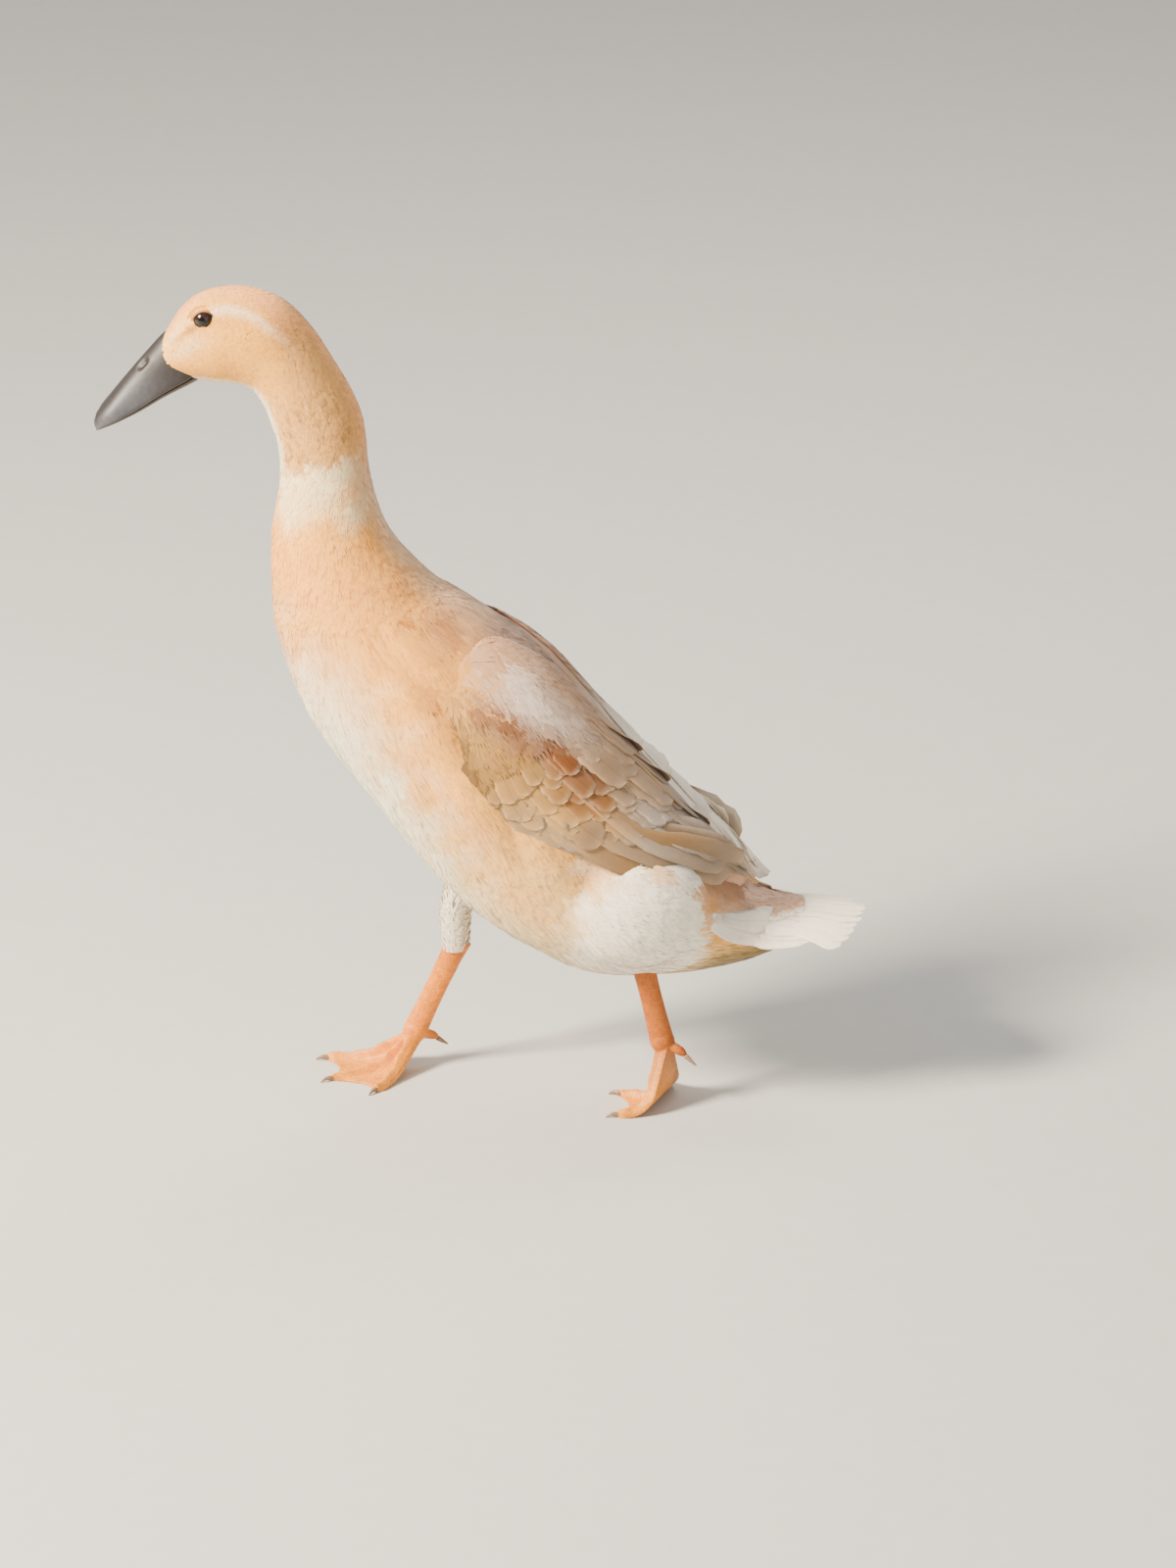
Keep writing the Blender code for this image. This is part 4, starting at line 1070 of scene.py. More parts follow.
def wing_feathers(side, surface, material):
    """The folded wing's large feathers in their rows, coloured by place."""
    rng = np.random.default_rng(SEEDS["wing feathers"] + (side == "left"))
    parts = []
    for number, (first, last, count, length, half_width, height, slope) in enumerate(WING_ROWS):
        share = np.linspace(0, 1, count)[:, None]
        ends = np.array(first) * (1 - share) + np.array(last) * share
        ends += rng.normal(0, 0.006, ends.shape) * (1, 2)
        ends[:, 1] = np.clip(ends[:, 1], 0.0, 1.0)
        pace = np.linalg.norm(surface.at(ends - (0.05, 0.0))[2], axis=-1)
        reach = length * rng.uniform(0.95, 1.05, count) / pace
        starts = ends - np.column_stack((reach, -slope * np.ones(count)))
        starts[:, 1] += (0.45 - starts[:, 1]) * 0.15
        starts = np.clip(starts, 0.01, 0.99)
        sizes = np.full(count, half_width)
        points, quads, x, t, reach_mm, wide_mm, places = vanes(
            surface, starts, ends, sizes, np.full(count, height), rng,
            tip=0.80 if length < 60 else 0.86, tilt=-0.4 if side == "left" else 0.4)
        colour, rim = wing_colour(side, places[:, 0], places[:, 1])
        middle = np.exp(-(x / 0.6) ** 2 - ((t - 0.72) / 0.26) ** 2)
        colour = colour * (1.06 - 0.16 * middle)[:, None]
        edge = ease(np.abs(x), 0.6, 1.0) * 0.4 + ease(t, 0.82, 1.0) * 0.7
        edge = (np.clip(edge, 0, 1) * rim)[:, None]
        colour = colour * (1 - edge) + tint("crescent") * edge
        own = np.repeat(1 + rng.normal(0, 0.03, count), len(x) // count)
        colour = colour * (own * (1 + 0.04 * mottle(points, "wing feathers")))[:, None]
        # Each feather's patch: its own cell of a row of cells, one row of them for each wing row.
        cell = np.repeat(np.arange(count), len(x) // count)
        lower = np.tile(np.repeat((0.0, 1.0), len(x) // count // 2), count)
        u = (cell + 0.27 + 0.21 * x + 0.5 * lower) / (LONGEST_ROW + 0.5) + 0.02
        v = (number + 0.08 + 0.84 * t) / (len(WING_ROWS) + 0.5) + 0.01
        on_vane = np.column_stack((wide_mm, reach_mm))
        parts.append((points, quads, colour, np.column_stack((u, v)), on_vane))
    mesh = mesh_of("wing", *joined([part[:2] for part in parts]))
    colours, places, vane_places = (np.vstack([part[k] for part in parts]) for k in (2, 3, 4))
    set_colour(mesh, np.clip(colours, 0, 1))
    set_map(mesh, "OFBake", places)
    set_map(mesh, "Vane", vane_places)
    add_piece("wing_feathers_" + side, mesh, [material])


def fan_piece(name, surface, starts, ends, vane, height, material, seed):
    """White tail feathers over a surface, each with its own cell on the map."""
    half_width, tip = vane
    rng = np.random.default_rng(seed)
    count = len(ends)
    points, quads, x, t, reach, wide, _ = vanes(
        surface, starts, ends, np.full(count, half_width), height, rng, tip, camber=0.06)
    each = len(x) // count
    own = np.repeat(rng.normal(0, 0.02, count), each)
    # Each feather is a little darker at its edges, as painted shade where it meets the next; its mottle
    # and own tone vary at random.
    shade = 1 - 0.05 * ease(np.abs(x), 0.75, 1.0) + 0.03 * mottle(points, "tail feathers") + own
    colour = tint("tail") * shade[:, None]
    mesh = mesh_of(name, points, quads)
    set_colour(mesh, np.clip(colour, 0, 1))
    cell = np.repeat(np.arange(count), each)
    lower = np.tile(np.repeat((0.0, 1.0), each // 2), count)
    across = (cell + 0.5 + 0.42 * x) / (count + 0.5) + 0.01
    set_map(mesh, "OFBake", np.column_stack((across, 0.02 + 0.46 * t + 0.49 * lower)))
    set_map(mesh, "Vane", np.column_stack((wide, reach)))
    add_piece(name, mesh, [material])


def skirt_shape(side, along, band):
    """Where the tail's outer feathers lie: from the side of the rump to the tail's end.

    A lower line and an upper line in space, joined by a band that bulges outwards in its middle.
    """
    edge, crest = (
        [body_point(section, angle) + body_normal(section, angle) * out
         for section, angle, out in zip(line[:, 0], np.radians(line[:, 1]), line[:, 2])]
        for line in (np.array(SKIRT_EDGE), np.array(SKIRT_CREST))
    )
    lower = through(np.vstack((edge, SKIRT_EDGE_END)), along * (len(edge) + 1))
    upper = through(np.vstack((crest, SKIRT_CREST_END)), along * (len(crest) + 1))
    place = lower + (upper - lower) * band[..., None]
    bulge = 3.0 * np.sin(math.pi * np.clip(band, 0, 1)) * (1 - along) ** 2
    place = place + bulge[..., None] * np.array((0.8, 0.0, 0.6))
    return place * ((side, 1.0, 1.0))


def tail_feathers(material):
    """The tail's feathers, fanned, the middle one on top, and the long outer ones along the rump."""
    surface = Surface(tail_shape, (-1.1, 1.1, TAIL_GRID[0]), (-0.4, 1.05, TAIL_GRID[1]))
    share = np.linspace(-0.93, 0.93, TAIL_FEATHERS)
    share = share[np.argsort(-np.abs(share))]
    late = 0.99 + np.random.default_rng(SEEDS["tail lengths"]).normal(0, 0.02, TAIL_FEATHERS)
    ends = np.column_stack((share, late))
    starts = np.column_stack((share * 0.6, np.full(TAIL_FEATHERS, -0.2)))
    height = 1.0 - 2.2 * np.abs(share)
    fan_piece("tail_feathers", surface, starts, ends, TAIL_VANE, height, material, SEEDS["tail"])
    for side, name in ((1, "left"), (-1, "right")):
        skirt = Surface(lambda along, band, side=side: skirt_shape(side, along, band),
                        (0.0, 1.0, SKIRT_GRID[0]), (-0.2, 1.2, SKIRT_GRID[1]), flip=side < 0)
        band = np.linspace(0.10, 0.72, SKIRT_FEATHERS)
        late = np.linspace(0.90, 0.97, SKIRT_FEATHERS)
        ends = np.column_stack((late, band))
        starts = np.column_stack((np.linspace(0.0, 0.12, SKIRT_FEATHERS), band * 0.85 + 0.12))
        height = np.linspace(-0.6, 0.4, SKIRT_FEATHERS)
        seed = SEEDS["skirt"] + side
        fan_piece("tail_skirt_" + name, skirt, starts, ends, SKIRT_VANE, height, material, seed)


# Legs

def foot_frame(leg):
    """Directions of the foot on the floor: forwards and towards its outer side."""
    turn = math.radians(leg["turn"]) * leg["side"]
    forward = np.array((-math.sin(turn), -math.cos(turn), 0.0))
    outward = np.array((math.cos(turn), -math.sin(turn), 0.0)) * leg["side"]
    return forward, outward


def sole_path(leg, distance):
    """Sole line: down the slope, round the bend and flat along the floor."""
    slope, raised, bend = math.radians(leg["slope"]), leg["raised"], leg["bend"]
    turning = bend * slope
    left = np.clip(slope - (np.maximum(distance - raised, 0.0)) / bend, 0.0, slope)
    forward = np.minimum(distance, raised) * math.cos(slope) + bend * (math.sin(slope) - np.sin(left))
    height = bend * (1 - np.cos(left)) + np.maximum(raised - distance, 0.0) * math.sin(slope)
    forward += np.maximum(distance - raised - turning, 0.0)
    return forward, height, left


def toe_reach(across):
    """Length of the foot at each place across: pointed at the toes, hollow between them."""
    side = np.clip(np.abs(across) / TOE_EDGE, 0, 1)
    outer = np.where(across > 0, TOE_LENGTHS[2], TOE_LENGTHS[0])
    reach = TOE_LENGTHS[1] + (outer - TOE_LENGTHS[1]) * side
    hollow = WEB_HOLLOW * np.sin(math.pi * side) ** 0.8
    rounding = TOE_TIP_ROUNDING * np.clip((np.abs(across) - TOE_EDGE) / (1 - TOE_EDGE), 0, 1) ** 2
    return reach - hollow - rounding


def foot_points(leg, ahead, lateral, lift):
    """Places on the foot: ahead along the sole line, out to the side and up off the sole."""
    forward, outward = foot_frame(leg)
    behind = BALL_PAD * math.sin(math.radians(leg["slope"]))
    origin = np.array((leg["ball"][0], leg["ball"][1], 0.0)) - forward * behind
    run, height, slope = sole_path(leg, ahead)
    run = run + lift * np.sin(slope)
    height = height + lift * np.cos(slope)
    place = origin + run[..., None] * forward + lateral[..., None] * outward
    place[..., 2] += height
    return place


def foot_slab(leg):
    """Webbed foot: three toes with rounded plates and knuckles on a web that creases between them."""
    along, across = lattice(np.linspace(0, 1, 90), np.linspace(-1, 1, 97))
    ray = along * toe_reach(across)
    ahead = ray * np.cos(across * TOE_SPREAD)
    lateral = ray * np.sin(across * TOE_SPREAD) + across * TOE_HALF_WIDTH
    ridge = TOE_HEIGHTS[0] + (TOE_HEIGHTS[1] - TOE_HEIGHTS[0]) * ray / TOE_LENGTHS[1] - WEB_THICKNESS
    plates = 0.45 * np.abs(np.sin(math.pi * ray / SCUTE_PITCH)) ** 0.7
    knuckles = sum(0.9 * np.exp(-((ray - place) / 3.5) ** 2) for place in (20.0, 36.0, 50.0))
    lift = 0.25 * np.sin(ray * 0.8 + 5 * np.sin(across * 7)) * ease(ray, 12, 25) * (1 - along**8)
    for toe in (-TOE_SPREAD, 0.0, TOE_SPREAD):
        off_toe = lateral * math.cos(toe) - ahead * math.sin(toe)
        toe_lift = (ridge + plates + knuckles) * np.exp(-np.abs(off_toe / (0.8 * TOE_HALF_WIDTH)) ** 2.4)
        lift = np.maximum(lift, toe_lift)
    sole = foot_points(leg, ahead, lateral, 0 * ray)
    upper = foot_points(leg, ahead, lateral, lift + WEB_THICKNESS)
    return slab_mesh(upper, sole)


def path_rings(path, half_depths, half_widths, around, facing):
    """Rings along a path: ellipses square to it, deep towards facing and wide across it."""
    along = unit(np.gradient(path, axis=0))
    wide = unit(np.cross(along, facing))
    deep = np.cross(wide, along)
    across = np.cos(full_turn(around)) * half_depths
    beside = np.sin(full_turn(around)) * half_widths
    return path[:, None] + deep[:, None] * across[..., None] + wide[:, None] * beside[..., None]


def shank_rings(leg):
    """Bare shank from inside the hock to the ball, with rows of plates down its front."""
    hock, ball = np.array(leg["hock"]), np.array(leg["ball"])
    start = hock - (ball - hock) * 0.12
    steps = np.linspace(0, 1, 110)
    path = start + (ball - start) * steps[:, None]
    deep = through(SHANK_HALF_DEPTHS, steps * 3)[:, 0]
    wide = through(SHANK_HALF_WIDTHS, steps * 3)[:, 0]
    run = steps * np.linalg.norm(ball - start)
    angle = full_turn(SHANK_COLUMNS)
    facing_front = ease(-np.cos(angle), 0.2, 0.8)
    plates = 0.35 * np.abs(np.sin(math.pi * run / SCUTE_PITCH))[:, None] ** 0.6 * facing_front[None]
    tendon = 0.5 * np.cos(2 * angle)[None] * ease(run, 10, 20)[:, None]
    extra = plates + tendon
    half_depths, half_widths = deep[:, None] + extra, wide[:, None] + 0.4 * extra
    return path_rings(path, half_depths, half_widths, SHANK_COLUMNS, FORE_AND_AFT)


def hind_toe_path(leg, steps):
    """Middle line of the raised toe behind the ball."""
    forward, _ = foot_frame(leg)
    start = np.array(leg["ball"]) + np.array((0.0, 0.0, HIND_TOE_LIFT - BALL_RADIUS))
    drop = np.array((0.0, 0.0, -HIND_TOE_DROP))
    return start - forward * HIND_TOE_LENGTH * steps + drop * steps**2


def ball_rings(leg):
    """The ball of the foot, a little flattened."""
    turn = np.linspace(0.05, math.pi - 0.05, 24)
    path = np.array(leg["ball"]) + np.column_stack((0 * turn, 0 * turn, BALL_RADIUS * np.cos(turn)))
    radius = (BALL_RADIUS * np.sin(turn))[:, None]
    return path_rings(path, radius, 0.92 * radius, 32, FORE_AND_AFT)


def leg_shapes(leg):
    """The closed shapes that are fused into one bare leg."""
    steps = np.linspace(0, 1, 24)[:, None]
    radius = through(HIND_TOE_RADII, steps[:, 0] * 2) * np.sqrt(1 - 0.9 * ease(steps, 0.75, 1.0))
    radius = radius + 0.2 * np.abs(np.sin(math.pi * steps * HIND_TOE_LENGTH / SCUTE_PITCH))
    rings = path_rings(hind_toe_path(leg, steps), radius, radius, 24, UPWARDS)
    return [tube_mesh(shank_rings(leg)), tube_mesh(ball_rings(leg)), foot_slab(leg), tube_mesh(rings)]


def leg_colour(leg, point):
    """Orange of the shank, turning to paler salmon on the web and toes, darker in blotches, with painted
    shade behind the ball and under the thigh's feathers.
    """
    shank = purer(SHANK_TINTS["left" if leg["side"] > 0 else "right"])
    toes = purer(TOE_TINT)
    dark = purer(LEG_SHADE_TINT)
    down = ease(-point[:, 2], -leg["ball"][2] - 4, -0.25 * leg["ball"][2])
    colour = shank * (1 - down)[:, None] + toes * down[:, None]
    # Painted shade: darker low down behind the ball and at the top under the thigh's feathers; dark
    # blotches besides.
    behind = ease(point[:, 1] - leg["ball"][1], 2.0, 12.0) * (point[:, 2] < leg["ball"][2] + 6)
    top = ease(point[:, 2], leg["hock"][2] - 10, leg["hock"][2])
    share = np.clip(0.7 * behind + 0.5 * top + 0.25 * mottle(point, "leg blotches"), 0, 1)[:, None]
    colour = colour * (1 - share) + dark * share
    return colour * (1 + 0.06 * mottle(point, "leg flecks"))[:, None]


def claw_rings():
    """Rings of all eight claws: cones that thin out along the toe's line."""
    steps = np.linspace(0, 1, 12)
    radius = CLAW_RADIUS * (1 - 0.75 * steps**1.5)
    drop = np.array((0.0, 0.0, -HIND_TOE_DROP))
    paths = []
    for leg in LEGS.values():
        for toe in (-1, 0, 1):
            ray = TOE_LENGTHS[toe + 1] - 1.0 + steps * (CLAW_LENGTH + 1.5)
            across = toe * TOE_EDGE
            ahead = ray * math.cos(across * TOE_SPREAD)
            lateral = ray * math.sin(across * TOE_SPREAD) + across * TOE_HALF_WIDTH
            paths.append(foot_points(leg, ahead, lateral, radius + 0.9 * np.sin(math.pi * steps)))
        forward, _ = foot_frame(leg)
        tip = hind_toe_path(leg, np.ones((1, 1)))[0] + forward
        paths.append(tip - forward * (CLAW_LENGTH + 1.0) * steps[:, None] + drop * steps[:, None])
    radius = radius[:, None]
    return [path_rings(path, radius, 0.85 * radius, 16, UPWARDS) for path in paths]


# Skin, head and bill

NEAR_THE_EYE = (3.2, 0.5)                          # section and angle


def head_side(back, height):
    """How far out the head's side lies at a back and height: Newton steps on section and angle."""
    place = np.broadcast_to(NEAR_THE_EYE, back.shape + (2,))
    step = 0.01
    for _ in range(8):
        here = body_point(place[..., 0], place[..., 1])
        by_section = (body_point(place[..., 0] + step, place[..., 1]) - here)[..., 1:] / step
        by_angle = (body_point(place[..., 0], place[..., 1] + step) - here)[..., 1:] / step
        miss = np.stack((back, height), axis=-1) - here[..., 1:]
        det = by_section[..., 0] * by_angle[..., 1] - by_section[..., 1] * by_angle[..., 0]
        change = np.stack((
            (miss[..., 0] * by_angle[..., 1] - miss[..., 1] * by_angle[..., 0]) / det,
            (by_section[..., 0] * miss[..., 1] - by_section[..., 1] * miss[..., 0]) / det), axis=-1)
        place = place + np.clip(change, -0.5, 0.5)
    return body_point(place[..., 0], place[..., 1])[..., 0]


def lid_shape(side):
    """Eyelids: a low roll round the eye, from the eyeball out to the side of the head."""
    share, turn = lattice(np.linspace(0, 1, LID_ROWS), full_turn(64))
    reach = 1 + share * LID_WIDTH / EYE_OPENING[0]
    corner = 1 + 0.10 * np.cos(turn) ** 8
    back = EYE_OPENING[0] * reach * np.cos(turn) * corner
    height = EYE_OPENING[1] * reach * np.sin(turn)
    ball = EYE_PLACE[0] + np.sqrt(np.maximum(EYE_RADIUS**2 - back**2 - height**2, 0.0))
    skin = head_side(EYE_PLACE[1] + back, EYE_PLACE[2] + height) - 0.3 - 0.6 * share**2
    blend = ease(share, 0.0, 0.6)
    rim = 0.55 * np.exp(-((share - 0.12) / 0.12) ** 2)
    out = np.maximum(ball + 0.3, ball * (1 - blend) + skin * blend) + rim
    out = out - 0.9 * (share == 0)
    points = np.stack((side * out, EYE_PLACE[1] + back, EYE_PLACE[2] + height), axis=-1)
    return points.reshape(-1, 3), grid_faces(*share.shape, closed=True, flip=side > 0)


def skin_parts(body):
    """Closed shapes under the coat: body, thighs and wings, each drawn in by its coat's depth."""
    sections = np.array([row[0] for row in COAT])
    depths = np.array([row[4] for row in COAT]) + SKIN_UNDER_ROOTS
    place = np.stack(lattice(np.linspace(0.0, LAST, 170), full_turn(96) - math.pi / 2), axis=-1)
    point, normal, _, _ = body.at(place)
    depth = np.interp(place[..., 0], sections, depths)
    parts = [tube_mesh(point - normal * depth[..., None])]
    for side, leg in LEGS.items():
        level, angle = lattice(np.linspace(0.15, 2.85, 40), full_turn(40))
        rings = thigh_shape(leg, level, angle)
        middle = rings.mean(axis=1, keepdims=True)
        inset = np.interp(level, (0, 1, 3), (3.0, 3.4, 1.4))[..., None]
        parts.append(tube_mesh((rings - unit(rings - middle) * inset)[::-1]))
        along, across = lattice(np.linspace(0.04, 0.93, 50), np.linspace(0.03, 0.97, 30))
        outer = wing_shape(side, along, across, 0.62)
        inner = wing_shape(side, along, across, -1.0)
        parts.append(slab_mesh(outer, inner))
    return parts


def nearest_colour(body, points):
    """Plumage at the body place nearest to each point, found with a tree of places."""
    sections, angles = lattice(np.linspace(0, LAST, 240), full_turn(96) - math.pi / 2)
    grid = np.column_stack((sections.ravel(), angles.ravel()))
    known = body.at(grid)[0]
    colour = plumage(grid[:, 0], grid[:, 1], known)
    tree = kdtree.KDTree(len(known))
    for number, place in enumerate(known):
        tree.insert(place, number)
    tree.balance()
    return colour[[tree.find(place)[1] for place in points]]


def make_skin(body, materials):
    """One skin: the fused body under the coat, the bare legs, and the eyelids."""
    flesh, flesh_quads = fused("flesh", skin_parts(body), SKIN_VOXEL, SKIN_SMOOTHING)
    shapes = [(flesh, flesh_quads, nearest_colour(body, flesh) * SKIN_SHADE, 0)]
    for side, leg in LEGS.items():
        bare, quads = fused("leg_" + side, leg_shapes(leg), LEG_VOXEL, LEG_SMOOTHING)
        bare[:, 2] = np.maximum(bare[:, 2], 0.0)
        shapes.append((bare, quads, leg_colour(leg, bare), 1))
    for side in (1, -1):
        rim, quads = lid_shape(side)
        inner = 1 - ease(np.linspace(0, 1, LID_ROWS), 0.12, 0.45)
        inner = np.repeat(inner, len(rim) // LID_ROWS)[:, None]
        colour = inner * linear(LID_RIM_TINT) + (1 - inner) * tint("cheek") * 0.92
        shapes.append((rim, quads, colour, 2))
    mesh = mesh_of("skin", *joined([shape[:2] for shape in shapes]))
    set_colour(mesh, np.clip(np.vstack([shape[2] for shape in shapes]), 0, 1))
    kinds = np.concatenate([np.full(len(shape[1]), shape[3]) for shape in shapes]).astype(np.int32)
    mesh.polygons.foreach_set("material_index", kinds)
    flesh_nodes = ["head", "neck", "trunk", "rump", "tail"]
    for side in LEGS:
        flesh_nodes += [part + side for part in ("wing_", "thigh_", "shank_", "foot_", "hind_toe_")]
    add_piece("skin", mesh, materials, flesh_nodes)


def bill_section(place):
    """A section of the bill: the point under it, its way up, its height and its half width."""
    rows = through(BILL_SECTIONS, place)
    top, bottom, width = rows[..., 0:2], rows[..., 2:4], rows[..., 4]
    tall = np.linalg.norm(top - bottom, axis=-1)
    return bottom, (top - bottom) / tall[..., None], tall, width


def bill_points(bottom, rise, across, up):
    """Points of the bill from their places across and up its sections."""
    return np.concatenate((across[..., None], bottom + rise * up[..., None]), axis=-1)


def upper_bill(place, angle):
    """Upper bill: an arch over a flat floor, narrower inside the face, with a fluted edge."""
    bottom, rise, tall, width = bill_section(place)
    width = width * (0.74 + 0.26 * ease(place, 0.4, 1.25))
    sine, cosine = np.sin(angle), np.cos(angle)
    arch = np.sign(cosine) * np.abs(cosine) ** (0.9 - 0.15 * ease(place, 2.5, 5))
    up = np.where(sine > 0, np.abs(sine) ** (1.0 - 0.1 * ease(place, 3, 5)), 0.12 * sine)
    flute = 0.18 * np.sin(place * 58.0) * np.exp(-(angle % math.pi) / 0.12) * ease(place, 1.5, 2.5)
    return bill_points(bottom, rise, width * arch * (1 + 0.012 * flute), up * tall)


def bill_normal(place, angle):
    """Outward normal of the upper bill, from its slopes along and around."""
    step = 0.01
    along = upper_bill(place + step, angle) - upper_bill(place - step, angle)
    around = upper_bill(place, angle + step) - upper_bill(place, angle - step)
    return unit(np.cross(around, along))


def make_upper_bill(material):
    """Upper bill with its finer shapes: nostrils let in with a raised rim, nail and ridge raised."""
    place, angle = lattice(6 * (1 - (1 - np.linspace(0, 1, 120)) ** 1.15), full_turn(96))
    point = upper_bill(np.clip(place, 0.02, 5.98), angle)
    normal = bill_normal(np.clip(place, 0.05, 5.95), angle + 0.003)
    long_way = unit(np.array((-1.0, -1.05)))
    offset = point[..., 1:] - np.array(NOSTRIL)
    run = offset @ long_way
    aside = offset @ np.array((-long_way[1], long_way[0]))
    sine = np.sin(angle)
    hole = np.exp(-(run / 3.8) ** 4 - (aside / 1.2) ** 2) * (sine > 0.3)
    rim = np.exp(-(run / 5.2) ** 4 - (aside / 2.5) ** 2) * (sine > 0)
    nail = ease(place, 5.15, 5.4) * ease(sine, 0.25, 0.6)
    dished = -0.5 * np.exp(-((place - 3.2) / 1.3) ** 2 - ((angle - math.pi / 2) / 0.9) ** 2)
    ridge = 0.5 * np.exp(-((angle - math.pi / 2) / 0.22) ** 2) * (1 - ease(place, 1.5, 3.5))
    lift = RIM_HEIGHT * rim - NOSTRIL_DEPTH * hole + NAIL_HEIGHT * nail + dished + ridge
    point = point + normal * lift[..., None]
    slate, light, dark = (np.array(linear(BILL_TINTS[name])) for name in ("slate", "light", "dark"))
    side = ease(np.cos(angle) ** 2, 0.2, 0.9) * ease(place, 1.2, 3.0)
    colour = slate * (1 - side[..., None]) + light * side[..., None]
    base = (1 - ease(place, 1.0, 2.2)) * ease(sine, 0.3, 1.0)
    cutting_edge = 1 - ease(np.abs(sine), 0.0, 0.12)
    # The nostril's hollow is painted near black, as painted shade inside it; the rim, nail, base, cutting
    # edge and blotches are darker too.
    share = (0.95 * hole + 0.35 * rim + 0.5 * nail + 0.45 * base + 0.5 * cutting_edge
             + 0.12 * mottle(point, "bill blotches"))
    share = np.clip(share, 0, 1)[..., None]
    colour = colour * (1 - share) + dark * share
    colour = colour * (1 + 0.07 * mottle(point, "bill flecks"))[..., None]
    points, quads, caps = tube_mesh(point)
    mesh = mesh_of("bill_upper", points, quads[:, ::-1], caps[:, ::-1])
    ends = np.vstack((colour.reshape(-1, 3), dark, dark))
    set_colour(mesh, np.clip(ends, 0, 1))
    add_piece("bill_horn_upper", mesh, [material], ["bill_upper"])


def make_lower_bill(material):
    """Lower bill: a thin trough that closes under the upper one."""
    place, angle = lattice(np.linspace(0, 5.75, 70), full_turn(48))
    bottom, rise, tall, width = bill_section(place)
    width = (width - JAW_NARROWER) * (0.80 + 0.20 * ease(place, 0.4, 1.25))
    depth = JAW_DEPTH * (1 - 0.65 * place / 5.75)
    floor = 0.09 * tall
    up = np.where(np.sin(angle) > 0, 0.15, 1.0) * np.sin(angle)
    across = np.maximum(width, 2.0) * np.cos(angle)
    points, quads, caps = tube_mesh(bill_points(bottom, rise, across, up * depth - floor))
    mesh = mesh_of("bill_lower", points, quads[:, ::-1], caps[:, ::-1])
    shade = 1 + 0.12 * mottle(points, "lower bill")
    colour = np.array(linear(BILL_TINTS["lower"])) * shade[:, None]
    set_colour(mesh, np.clip(colour, 0, 1))
    add_piece("bill_horn_lower", mesh, [material], ["bill_lower"])


def make_eyes(material):
    """Eyeballs: pupil, brown iris and dark rim by the angle off the eye's axis, cornea a little raised."""
    off, turn = lattice(np.clip(np.linspace(0, math.pi, 61), 0.01, math.pi - 0.01), full_turn(64))
    pupil, iris, rim = (np.array(linear(colour)) for colour in EYE_TINTS)
    fibres = 0.5 + 0.5 * np.sin(turn * 21 + 3 * np.sin(turn * 5))
    inner = ease(off, 0.36, 0.42)[..., None]
    outer = ease(off, 0.80, 0.95)[..., None]
    brown = iris * (0.75 + 0.5 * fibres[..., None] * (1 - outer))
    colour = (pupil * (1 - inner) + brown * inner) * (1 - outer) + rim * outer
    radius = EYE_RADIUS * (1 + 0.03 * np.exp(-(off / 0.5) ** 2))
    for side, name in ((1, "left"), (-1, "right")):
        out = np.array((side * math.cos(EYE_TURN), -math.sin(EYE_TURN), 0.0))
        wide = unit(np.cross(out, UPWARDS))
        high = np.cross(wide, out)
        spoke = wide * np.cos(turn)[..., None] + high * np.sin(turn)[..., None]
        local = out * np.cos(off)[..., None] + spoke * np.sin(off)[..., None]
        centre = np.array((side * EYE_PLACE[0], EYE_PLACE[1], EYE_PLACE[2]))
        points, quads, caps = tube_mesh(centre + local * radius[..., None])
        mesh = mesh_of("eye", points, quads[:, ::-1], caps[:, ::-1])
        set_colour(mesh, np.vstack((colour.reshape(-1, 3), pupil, rim)))
        add_piece("eyeball_" + name, mesh, [material], ["eye_" + name])


def make_claws(material):
    """The eight claws."""
    points, quads, caps = joined([tube_mesh(rings) for rings in claw_rings()])
    mesh = mesh_of("claws", points, quads, caps)
    names = [f"claw_{side}_{toe}" for side in LEGS for toe in ("inner", "middle", "outer", "hind")]
    add_piece("claw_horn", mesh, [material], names)


# Materials

def new_material(name):
    """A new material, its nodes and its shader."""
    material = bpy.data.materials.new(name)
    material.use_nodes = True
    nodes = material.node_tree.nodes
    return material, nodes, nodes["Principled BSDF"]


def add_node(nodes, kind, links=(), **settings):
    """Add a node, set its inputs and properties by name, and link its inputs from outputs."""
    node = nodes.new(kind)
    for key, value in settings.items():
        if key in dir(node):
            setattr(node, key, value)
        else:
            node.inputs[key.replace("_", " ").title()].default_value = value
    for socket, output in links:
        node.id_data.links.new(node.inputs[socket], output)
    return node


def set_shader(shader, **values):
    """Set constants on the shader's own sockets."""
    for key, value in values.items():
        shader.inputs[key.replace("_", " ")].default_value = value


def plug(shader, socket, output):
    """Link an output to a socket of the shader."""
    shader.id_data.links.new(shader.inputs[socket], output)


def object_space(nodes):
    """The object's own space, in metres."""
    return add_node(nodes, "ShaderNodeTexCoord").outputs["Object"]


def noise_in(nodes, space, scale, detail):
    """Noise over a space, so many grains to the metre."""
    return add_node(
        nodes, "ShaderNodeTexNoise", [("Vector", space)], scale=scale, detail=detail).outputs["Fac"]


def spread(nodes, value, **ends):
    """A value spread from one range to another."""
    return add_node(nodes, "ShaderNodeMapRange", [("Value", value)], **ends).outputs["Result"]


def product(nodes, first, second, kind="ShaderNodeVectorMath"):
    """Two outputs multiplied."""
    return add_node(nodes, kind, [(0, first), (1, second)], operation="MULTIPLY").outputs[0]


